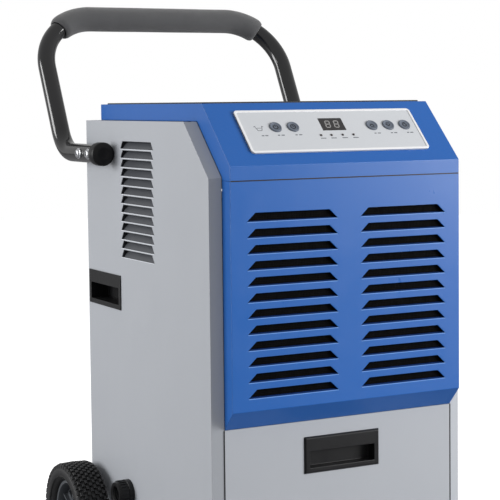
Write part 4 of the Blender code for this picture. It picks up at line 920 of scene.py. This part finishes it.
def plate_printing(buttons, lamp_y, depths):
    """Faint bars where words would be, and a bucket sign of plain strokes."""
    bucket_x, bucket_y = -0.1400, buttons[0].y - 0.002
    marks = []
    for x, y, shifts in (
            *((spot.x, spot.y - 0.0182, ((-0.0042, 0.0046), (0.0036, 0.0066))) for spot in buttons),
            (bucket_x, bucket_y - 0.0165, ((-0.0030, 0.0050), (0.0040, 0.0060)))):
        marks += [bar(x + 0.004 + shift, y, size, LABEL_BAR, *depths, 1) for shift, size in shifts]
    marks += [bar(x + 0.002, lamp_y - 0.0068, 0.0110, 0.0018, *depths, 1) for x in LAMP_X]
    for way in (-1, 1):
        wall = (bucket_x + way * 0.0052, bucket_y, 0.0105, 0.0011)
        lug = (bucket_x + way * 0.0075, bucket_y + 0.0046, 0.0040, 0.0011)
        marks.append(bar(*wall, *depths, 0, math.radians(72 * way)))
        marks.append(bar(*lug, *depths, 0, math.radians(-25 * way)))
    marks.append(bar(bucket_x, bucket_y - 0.0048, 0.0074, 0.0011, *depths, 0))
    marks.append(bar(bucket_x, bucket_y + 0.0010, 0.0086, 0.0010, *depths, 0))
    piece("plate_printing", marks, "cabinet", "control_plate", finishes=[PRINTED_MARK, FAINT_MARK],
          at=ON_SLOPE, sharp=40)


def button_signs(number):
    """Generic signs in the button's own plane: power, clock, arrow up, arrow down, drop."""
    depths = (-0.0003, 0.0003)
    thick = 0.0016

    def stroke(x, y, length, tilt=0, share=1.0):
        return bar(x, y, length, thick * share, *depths, 1, math.radians(tilt))

    def ring(y, radius, start=0, sweep=360):
        return hoop(0, y, radius, thick, *depths, 1, math.radians(start), math.radians(sweep))

    if number == 1:
        return [ring(-0.0003, 0.0042, 125, 290), stroke(0, 0.0030, 0.0046, 90)]
    if number == 2:
        return [ring(0, 0.0045), stroke(0, 0.0014, 0.0030, 90, 0.8), stroke(0.0011, 0, 0.0026, 0, 0.8)]
    if number in (3, 4):
        up = 1 if number == 3 else -1
        return [stroke(-0.0022, 0.0004 * up, 0.0064, 48 * up), stroke(0.0022, 0.0004 * up, 0.0064, -48 * up),
                stroke(0, -0.0042 * up, 0.0070)]
    return [ring(-0.0010, 0.0034, 145, 250), stroke(-0.0015, 0.0030, 0.0046, 62),
            stroke(0.0015, 0.0030, 0.0046, -62)]


def push_buttons():
    """Dished round keys with a raised rim and a generic sign."""
    radius, skirt = BUTTON_RADIUS, BUTTON_RADIUS + 0.0013
    for number in range(1, 6):
        low, high = slope_span(f"button_{number}")
        spot = (low + high) / 2
        top = high.z
        profile = [(0, low.z), (skirt, low.z), (skirt, -0.0009), (radius, -0.0009),
                   (radius, top - 0.0009), (radius - 0.0003, top - 0.0003), (radius - 0.0009, top),
                   (radius - 0.0018, top - 0.0001), (radius - 0.0026, top - 0.0007)]
        profile += [(radius * share, top - 0.0013 + 0.0005 * share * share) for share in (0.6, 0.4, 0.2)]
        profile.append((0, top - 0.0013))
        signs = [placed(s, Matrix.Translation((0, 0, top - 0.0012))) for s in button_signs(number)]
        piece(f"key_cap_{number}", [lathe_part(profile, 64), *signs], f"key_{number}", "button_plastic",
              [f"button_{number}"], finishes=[FINISHES["button_plastic"], BUTTON_SIGN],
              at=ON_SLOPE @ Matrix.Translation((spot.x, spot.y, 0)), sharp=50)


def digit(x, y, size, low, high):
    """Seven-segment figure eight, leaning a little."""
    half, tall, gap = size * 0.27, size * 0.5, size * 0.03
    lean = math.tan(math.radians(7))
    flat = [(0, tall, 0), (0, 0, 0), (0, -tall, 0)]
    upright = [(dx, dy, 90) for dy in (tall / 2, -tall / 2) for dx in (-half, half)]
    return [bar(x + dx + dy * lean, y + dy, (tall if turn else 2 * half) - gap * 2, size * 0.13, low, high, 1,
                math.radians(turn * 0.92)) for dx, dy, turn in flat + upright]


def display():
    """Smoked window with two unlit figures showing through it."""
    low, high = slope_span("display_window")
    middle = (low + high) / 2
    parts = [box_part(low, high)]
    for way in (-1, 1):
        parts += digit(middle.x + way * 0.0085, middle.y, 0.0150, high.z - 0.0002, high.z + 0.00005)
    piece("display_lens", parts, "cabinet", "display_window", ["display_window"],
          finishes=[FINISHES["display_window"], DIGITS], at=ON_SLOPE, sharp=40)


def lamps():
    """Four small domes on their light bar."""
    low, high = slope_span("lamp_guide")
    parts = [box_part(low, (high.x, high.y, -0.001))]
    tall = 0.0012
    dome = [(0, -0.002), (LAMP_RADIUS, -0.002), (LAMP_RADIUS, high.z)]
    for degrees in (18, 36, 54, 72):
        turn = math.radians(degrees)
        dome.append((LAMP_RADIUS * math.cos(turn), high.z + tall * math.sin(turn)))
    dome.append((0, high.z + tall))
    for x in LAMP_X:
        parts.append(placed(lathe_part(dome, 32), Matrix.Translation((x, (low.y + high.y) / 2, 0))))
    piece("lamp_domes", parts, "cabinet", "lamp_plastic", ["lamp_guide"], at=ON_SLOPE)


control_fascia()
push_buttons()
display()
lamps()


# ---------------------------------------------------------------- vents, filter and mat
def vent_foot(high, row):
    """Height of a side slot's lower edge, counted down from the top row."""
    return high.z - VENT_FRAME - VENT_HEIGHT - row * VENT_PITCH


def vent_blades():
    """Open tray behind each side's slots, with a blade rising inwards behind every slot."""
    lip, wall = 0.0012, 0.0015
    for side, way in SIDES.items():
        low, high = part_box(f"side_vent_{side}")
        face, inner = (low.x, high.x) if way < 0 else (high.x, low.x)
        rear, front = high.y - VENT_FRAME + 0.001, low.y + VENT_FRAME - 0.001
        slabs = [(lip, low.y, high.y, high.z - VENT_FRAME, high.z),
                 (lip, low.y, high.y, low.z, low.z + VENT_FRAME - 0.003),
                 (lip, low.y, front - 0.001, low.z, high.z), (lip, rear + 0.001, high.y, low.z, high.z),
                 (high.x - low.x, rear, rear + wall, low.z, high.z),
                 (high.x - low.x, front - wall, front, low.z, high.z)]
        parts = []
        for depth, y0, y1, z0, z1 in slabs:
            near, far = sorted((face, face - way * depth))
            parts.append(box_part((near, y0, z0), (far, y1, z1)))
        near, far = face - way * 0.0009, inner + way * 0.0005
        for row in range(VENT_ROWS):
            foot = vent_foot(high, row)
            crest = foot + VENT_HEIGHT + 0.0030
            section = [(near, foot - 0.0012), (near, foot + 0.0004), (far, crest), (far, crest - 0.0016)]
            ends = (front, high.y - VENT_FRAME - VENT_TAPER * 0.55)
            verts = [vec(x, y, z) for y in ends for x, z in section]
            sides = [(i, i + 4, (i + 1) % 4 + 4, (i + 1) % 4) for i in range(4)]
            parts.append((verts, [(0, 1, 2, 3), (7, 6, 5, 4), *sides], 0))
        piece(f"vent_blades_{side}", parts, "cabinet", "dark_moulding", [f"side_vent_{side}"],
              finishes=[BLADE_PLASTIC], edge=0.0003, sharp=30)
        near, far = sorted((inner, inner + way * 0.0004))
        backing = box_part((near, low.y + VENT_FRAME, low.z + 0.004),
                           (far, high.y - VENT_FRAME, high.z - 0.004))
        piece(f"vent_backing_{side}", [backing], "cabinet", "filter_mesh")


def filter_net():
    """Framed net behind the louvres: a film with crossing threads on it."""
    low, high, middle = measured("air_filter")
    rim, pitch, thread = 0.009, 0.0030, 0.00035
    film_y = middle.y
    left, right, foot, top = low.x + rim, high.x - rim, low.z + rim, high.z - rim
    outer = [(low.x, low.z), (high.x, low.z), (high.x, high.z), (low.x, high.z)]
    inner = [(left, foot), (right, foot), (right, top), (left, top)]
    border = frame_part(outer, inner, -high.y, -low.y)
    parts = [placed(border, Matrix.Rotation(math.radians(90), 4, "X")),
             box_part((left - rim / 2, film_y, foot - rim / 2),
                      (right + rim / 2, high.y - 0.001, top + rim / 2))]
    for i in range(1, int((right - left) / pitch)):
        x = left + i * pitch
        parts.append(box_part((x - thread, film_y - 0.0007, foot), (x + thread, film_y + 0.0002, top)))
    for i in range(1, int((top - foot) / pitch)):
        z = foot + i * pitch
        parts.append(box_part((left, film_y - 0.0009, z - thread), (right, film_y + 0.0001, z + thread)))
    piece("filter_net", parts, "cabinet", "filter_mesh", ["air_filter"])


def lid_mat():
    """Thin ribbed mat let onto the lid's top, with rounded corners."""
    front, rear = lid_low.y + CONTROL_RUN + 0.010, lid_high.y - 0.012
    width = 2 * (lid_high.x - 0.005)
    outline = rounded_outline(width, rear - front, 0.012, 8, (0, (front + rear) / 2))
    bed = prism_part(outline, lid_high.z - 0.0006, lid_high.z + 0.0022)
    piece("lid_mat", [bed], "cabinet", "tyre_rubber", finishes=[MAT_RUBBER], edge=0.0008, sharp=30)


def seam_shade_lip():
    """Thin black lip in the seam between the lid and the louvred panel, painted shade that darkens the seam
    line.
    """
    panel_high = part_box("front_louvre_panel")[1]
    seam = (panel_high.z + lid_low.z) / 2
    half = panel_high.x - 0.0010
    face = lid_low.y - 0.0002
    section = [(face, seam - 0.0010), (face, seam + 0.0010), (face + 0.010, seam + 0.0002),
               (face + 0.010, seam - 0.0002)]
    # the black lip stands in for the shadow in the seam
    piece("seam_shade_lip", [prism_part(section, -half, half)], "cabinet", "black_moulding", at=ACROSS, sharp=30)


def door_seals():
    """Dark lips on the side panels, along the door's upright edges."""
    low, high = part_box("front_door")
    parts = []
    for way in (-1, 1):
        near, far = sorted((way * (high.x + 0.0002), way * (high.x + 0.0018)))
        parts.append(box_part((near, low.y - 0.0004, low.z), (far, low.y + 0.0030, high.z)))
    piece("door_seals", parts, "cabinet", "black_moulding", sharp=30)


def louvre_lips():
    """Lip that climbs inwards from each louvre's lower edge, dark navy as painted shade, with a rolled edge
    in front that is light blue as a painted highlight.
    """
    low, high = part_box("front_louvre_panel")
    lip = [(0.0016, -0.0010), (0.0070, 0.0006), (0.0070, 0.0018), (0.0004, -0.0002)]
    edge = [(0.0006, -0.0013), (0.0006, 0.0002), (-0.0003, -0.0002), (-0.0003, -0.0011)]
    parts = []
    for row in range(LOUVRE_ROWS):
        foot = high.z - LOUVRE_TOP_MARGIN - row * LOUVRE_PITCH
        for way in (-1, 1):
            inner, outer = sorted((way * LOUVRE_INNER, way * (high.x - LOUVRE_MARGIN)))
            # finish 1 is the painted-shade navy of the lip, finish 0 the painted-highlight blue of the edge
            for section, inset, finish in ((lip, 0.002, 1), (edge, 0.0005, 0)):
                outline = [(low.y + y, foot + z) for y, z in section]
                parts.append(prism_part(outline, inner + inset, outer - inset, finish))
    piece("louvre_lips", parts, "cabinet", "blue_lid", finishes=[BLUE_PAINTED_HIGHLIGHT, BLUE_PAINTED_SHADE], at=ACROSS, sharp=30)


def vent_highlight_edges():
    """Rolled edge under every side slot, light grey as a painted highlight line."""
    for side, way in SIDES.items():
        low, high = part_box(f"side_vent_{side}")
        face = (low.x if way < 0 else high.x) + way * VENT_INSET
        near, far = sorted((face + way * 0.0003, face - way * 0.0006))
        parts = []
        for row in range(VENT_ROWS):
            foot = vent_foot(high, row)
            parts.append(box_part((near, low.y + VENT_FRAME + 0.0005, foot - 0.0012),
                                  (far, high.y - VENT_FRAME - 0.0005, foot + 0.0001)))
        piece(f"vent_highlight_edges_{side}", parts, "cabinet", "grey_paint", finishes=[GREY_PAINTED_HIGHLIGHT], sharp=30)


vent_blades()
filter_net()
lid_mat()
seam_shade_lip()
door_seals()
louvre_lips()
vent_highlight_edges()


# ---------------------------------------------------------------- wheels and casters
def tread_block(turn, radius, across, crown):
    """Small block on the tyre's crown, narrower at its top."""
    length = math.tau * crown / TREAD_BLOCKS * 0.62
    spin = Matrix.Rotation(turn, 3, "Z")
    verts = []
    for height, share in ((radius * 0.940, 1.0), (crown - 0.0008, 0.94), (crown, 0.80)):
        for dx, dt in ((-1, -1), (1, -1), (1, 1), (-1, 1)):
            angle = dt * share * length / 2 / crown
            reach = height / math.cos(angle) if height < crown else height
            corner = vec(reach * math.cos(angle), reach * math.sin(angle), across + dx * 0.0028 * share)
            verts.append(spin @ corner)
    faces = [(3, 2, 1, 0), (8, 9, 10, 11)]
    for ring in (0, 4):
        faces += [(ring + i, ring + (i + 1) % 4, ring + 4 + (i + 1) % 4, ring + 4 + i) for i in range(4)]
    return verts, faces, 0


def mirrored(profile):
    """A half profile and its mirror image, which share the last point."""
    return profile + [(r, -h) for r, h in reversed(profile[:-1])]


def treaded_tyres():
    """Tyre with staggered rows of small blocks, square shoulders and a ribbed side."""
    for side, way in SIDES.items():
        low, high, centre = measured(f"tyre_{side}")
        radius = (high.z - low.z) / 2
        half = (high.x - low.x) / 2
        carcass = [(RIM_RADIUS + FIT, -half * 0.62), (RIM_RADIUS + 0.003, -half * 0.78),
                   (RIM_RADIUS + 0.008, -half * 0.92), (radius * 0.80, -half), (radius * 0.86, -half * 0.995),
                   (radius * 0.90, -half * 0.96), (radius * 0.93, -half * 0.88),
                   (radius * 0.945, -half * 0.70), (radius * 0.950, -half * 0.35), (radius * 0.950, 0)]
        parts = [lathe_part(mirrored(carcass), 96, closed=True)]
        for row, across in enumerate(TREAD_ROWS):
            crown = radius - 0.0002 - abs(across) * 0.045
            for block in range(TREAD_BLOCKS):
                turn = math.tau * (block + 0.5 * (row % 2)) / TREAD_BLOCKS
                parts.append(tread_block(turn, radius, across, crown))
        for edge in (-1, 1):
            wall = edge * half * 0.93
            lug = box_part((radius * 0.885, -0.0046, wall - 0.0015), (radius * 0.962, 0.0046, wall + 0.0014))
            for block in range(TREAD_BLOCKS):
                turn = math.tau * (block + 0.5) / TREAD_BLOCKS
                parts.append(placed(lug, Matrix.Rotation(turn, 4, "Z")))
            for ring in (radius * 0.745, radius * 0.825):
                bead = [(ring - 0.0012, wall), (ring, edge * (half - 0.0001)), (ring + 0.0012, wall)]
                parts.append(lathe_part(bead, 96, closed=True))
        piece(f"treaded_tyre_{side}", parts, f"wheel_{side}", "tyre_rubber", [f"tyre_{side}"],
              at=along("X", centre, way), sharp=40, origin=centre)


def ribbed_hubs():
    """Moulded hub: rim, dished web with six windows, ribs between them and a boss."""
    half = 0.0180
    rim = [(0.0575, -half), (RIM_RADIUS - 0.0008, -half), (RIM_RADIUS, -half + 0.001),
           (RIM_RADIUS, half - 0.001), (RIM_RADIUS - 0.0008, half), (0.0605, half), (0.0590, half - 0.002),
           (0.0575, 0.002), (0.0575, -half + 0.004)]
    leaf = [(0.0195, -0.00715), (0.0585, -0.01085), (0.0592, 0.0), (0.0585, 0.01085), (0.0195, 0.00715)]
    web_low, web_high = -0.0040, 0.0005
    for side, way in SIDES.items():
        low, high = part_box(f"wheel_hub_{side}")
        centre = measured(f"tyre_{side}")[2]
        inside, out = (centre.x - low.x, high.x - centre.x)[::way]
        boss = [(AXLE_BORE, -inside), (0.0180, -inside), (0.0200, -inside + 0.006), (0.0215, -0.004),
                (0.0215, 0.006), (0.0200, out - 0.0015), (0.0185, out), (AXLE_BORE, out)]
        parts = [lathe_part(rim, 96, closed=True), lathe_part(boss, 64, closed=True)]
        for spoke in range(6):
            turn = Matrix.Rotation(math.tau * (spoke + 0.5) / 6, 4, "Z")
            parts.append(placed(prism_part(leaf, -0.0050, 0.0020), turn))
            parts.append(placed(box_part((0.0190, -0.0016, -0.0010), (0.0590, 0.0016, 0.0095)), turn))
        for inner, outer, segments in ((0.0190, 0.0260, 64), (0.0520, 0.0590, 96)):
            ring = [(inner, web_low), (outer, web_low), (outer, web_high), (inner, web_high)]
            parts.append(lathe_part(ring, segments, closed=True))
        piece(f"spoked_hub_{side}", parts, f"wheel_{side}", "dark_moulding", [f"wheel_hub_{side}"],
              at=along("X", centre, way), sharp=35, origin=centre)


def axle_ends():
    """Pressed caps on the axle's ends."""
    for side, way in SIDES.items():
        low, high, spot = measured(f"axle_cap_{side}")
        depth = high.x - low.x
        near = vec(low.x if way > 0 else high.x, spot.y, spot.z)
        radius = (high.z - low.z) / 2
        profile = [(0, depth - 0.004), (AXLE_BORE, depth - 0.004), (AXLE_BORE, 0.0), (radius, 0.0),
                   (radius, depth * 0.45), (radius - 0.0006, depth * 0.58), (radius - 0.0020, depth * 0.80),
                   (radius * 0.62, depth * 0.95), (radius * 0.30, depth), (0, depth)]
        piece(f"hub_cap_{side}", [lathe_part(profile, 64)], "cabinet", "black_moulding", [f"axle_cap_{side}"],
              at=along("X", near, way), sharp=40)


def caster_rollers():
    """Roller: grey core with a crowned tread and a grooved side."""
    for side in SIDES:
        low, high, centre = measured(f"caster_wheel_{side}")
        radius = (high.z - low.z) / 2
        half = (high.x - low.x) / 2
        core = [(0.0043, -half), (0.0120, -half), (0.0135, -half + 0.0025), (0.0265, -half + 0.0030),
                (0.0280, -half + 0.0015)]
        core += [(r, -h) for r, h in reversed(core)]
        tread = [(0.0281, -half + 0.0020), (0.0330, -half + 0.0008), (radius - 0.0022, -half + 0.0024),
                 (radius - 0.0006, -half + 0.0052), (radius, -half * 0.35), (radius, 0)]
        parts = [lathe_part(core, 72, 1, closed=True), lathe_part(mirrored(tread), 96, 0, closed=True)]
        piece(f"roller_tyre_{side}", parts, f"roller_{side}", "tyre_rubber", [f"caster_wheel_{side}"],
              finishes=[FINISHES["tyre_rubber"], FINISHES["dark_moulding"]], at=along("X", centre), sharp=35,
              origin=centre)


treaded_tyres()
ribbed_hubs()
axle_ends()
caster_rollers()


# ---------------------------------------------------------------- outlets and screws
def hose_outlet():
    """Hose outlet with a grip ring, a chamfered lip and a screw thread inside its mouth."""
    low, high, spot = measured("drain_collar")
    length = high.x - low.x
    radius = (high.z - low.z) / 2
    waist = radius - 0.0018
    bore = 0.0142
    profile = [(bore, 0.0), (radius, 0.0), (radius, length * 0.30), (waist, length * 0.34),
               (waist, length * 0.82), (radius - 0.0035, length), (bore + 0.0018, length),
               (bore, length - 0.002)]
    for ridge in range(4):
        start = length - 0.003 - ridge * 0.0045
        profile += [(bore, start), (bore - 0.0010, start - 0.0015), (bore, start - 0.0030)]
    parts = [lathe_part(profile, 72, closed=True)]
    rib = box_part((radius - 0.0024, -0.0010, length * 0.36), (radius - 0.0004, 0.0010, length * 0.80))
    parts += [placed(rib, Matrix.Rotation(math.tau * step / 24, 4, "Z")) for step in range(24)]
    piece("hose_outlet", parts, "cabinet", "black_moulding", ["drain_collar"],
          at=along("X", vec(high.x, spot.y, spot.z), -1), sharp=35)


def cord_entry():
    """Flanged gland with a ribbed cone."""
    low, high, spot = measured("cord_gland")
    length = high.y - low.y
    radius = (high.x - low.x) / 2
    bore, neck = 0.0040, radius - 0.0055
    profile = [(bore, 0.0), (neck, 0.0), (neck, 0.0138), (radius, 0.0142), (radius, 0.0172),
               (radius - 0.001, 0.0182), (neck + 0.0008, 0.0190)]
    for rib in range(4):
        start = 0.0195 + rib * 0.0042
        crest = neck - 0.0004 * rib
        groove = crest - 0.0018
        profile += [(crest, start), (crest, start + 0.0022), (groove, start + 0.0026),
                    (groove, start + 0.0038)]
    profile += [(neck - 0.0024, length), (bore, length)]
    piece("cord_entry", [lathe_part(profile, 64, closed=True)], "cabinet", "black_moulding", ["cord_gland"],
          at=along("Y", vec(spot.x, low.y, spot.z)), sharp=30)


def cross_screw(radius):
    """Pan-head screw with a cross recess, its seat at 0."""
    profile = [(0, -0.002), (radius * 0.5, -0.002), (radius * 0.5, 0.0), (radius, 0.0),
               (radius, radius * 0.20)]
    for step in range(1, 6):
        turn = math.radians(18 * step)
        profile.append((radius * math.cos(turn) * 0.98, radius * (0.20 + 0.38 * math.sin(turn))))
    profile[-1] = (0, radius * 0.58)
    return lathe_part(profile, 32)


def panel_screws():
    """Screws along the rear panel's edges and through the caster plates."""
    low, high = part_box("rear_panel")
    top, foot = high.z - 0.012, low.z + 0.030
    cross_arm = box_part((-0.0022, -0.0004, 0.0016), (0.0022, 0.0004, 0.0026), 1)
    parts = []
    for x in (low.x + 0.009, high.x - 0.009):
        for share in (0.0, 0.33, 0.66, 1.0):
            seat = along("Y", vec(x, high.y, foot + (top - foot) * share))
            parts.append(placed(cross_screw(0.0042), seat))
            for turn in (45, 135):
                parts.append(placed(cross_arm, seat @ Matrix.Rotation(math.radians(turn), 4, "Z")))
    piece("panel_screws", parts, "cabinet", "bright_steel", sharp=35,
          finishes=[FINISHES["bright_steel"], FINISHES["black_moulding"]])
    parts = []
    for side in SIDES:
        low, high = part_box(f"caster_plate_{side}")
        for x in (low.x + 0.007, high.x - 0.007):
            for y in (low.y + 0.007, high.y - 0.007):
                parts.append(placed(cross_screw(0.0040), along("Z", vec(x, y, low.z), -1)))
    piece("caster_screws", parts, "cabinet", "bright_steel", sharp=35)


hose_outlet()
cord_entry()
panel_screws()


# ---------------------------------------------------------------- studio and camera
def floor_paper():
    """Pale paper that looks white to the camera and throws back only a little light."""
    made = Finish("floor_paper", (0.30, 0.30, 0.31))
    seen = add(made.tree, "ShaderNodeLightPath").outputs["Is Camera Ray"]
    made.colour = blend_colour(made.tree, seen, made.colour, (0.93, 0.93, 0.93, 1))
    made.drift(0.004, 0.8, 0.01).shine(0.55, 0.65, 0.3)
    made.shader.inputs["Emission Color"].default_value = WHITE
    made.tree.links.new(times(made.tree, seen, FLOOR_GLOW), made.shader.inputs["Emission Strength"])
    return made.done()


def studio():
    """White surroundings, pale floor and broad soft lights."""
    world = bpy.data.worlds.new("studio")
    bpy.context.scene.world = world
    world.use_nodes = True
    tree = world.node_tree
    shade = tree.nodes["Background"]
    seen = add(tree, "ShaderNodeLightPath").outputs["Is Camera Ray"]
    tree.links.new(blend_colour(tree, seen, SURROUNDINGS, WHITE), shade.inputs["Color"])

    floor_spot = (0, 0, frame_low.z)
    bpy.ops.mesh.primitive_circle_add(vertices=96, radius=FLOOR_RADIUS, fill_type="NGON", location=floor_spot)
    floor = bpy.context.object
    floor.name = "floor"
    floor.data.materials.append(floor_paper())

    for name, spot, size, power in SOFTBOXES:
        lamp = bpy.data.lights.new(name, "AREA")
        lamp.size = size
        lamp.energy = power
        holder = bpy.data.objects.new(name, lamp)
        bpy.context.scene.collection.objects.link(holder)
        holder.location = spot
        holder.rotation_euler = (LIGHT_AIM - Vector(spot)).to_track_quat("-Z", "Y").to_euler()


def camera():
    """Long lens from the front left, a little above the control slope."""
    yaw, pitch, roll = (math.radians(turn) for turn in CAMERA_TURNS)
    forward = vec(math.sin(yaw) * math.cos(pitch), math.cos(yaw) * math.cos(pitch), -math.sin(pitch))
    right = vec(math.cos(yaw), -math.sin(yaw), 0)
    up = right.cross(forward)
    turned_right = right * math.cos(roll) + up * math.sin(roll)
    turned_up = up * math.cos(roll) - right * math.sin(roll)
    basis = Matrix((turned_right, turned_up, -forward)).transposed().to_4x4()
    lens = bpy.data.cameras.new("view")
    lens.lens = CAMERA_LENS
    lens.sensor_width = 36
    lens.shift_y = -0.10
    holder = bpy.data.objects.new("view", lens)
    bpy.context.scene.collection.objects.link(holder)
    holder.matrix_world = Matrix.Translation(CAMERA_PLACE) @ basis
    bpy.context.scene.camera = holder


studio()
camera()
bpy.context.scene.view_settings.view_transform = "Standard"

bpy.context.view_layer.update()
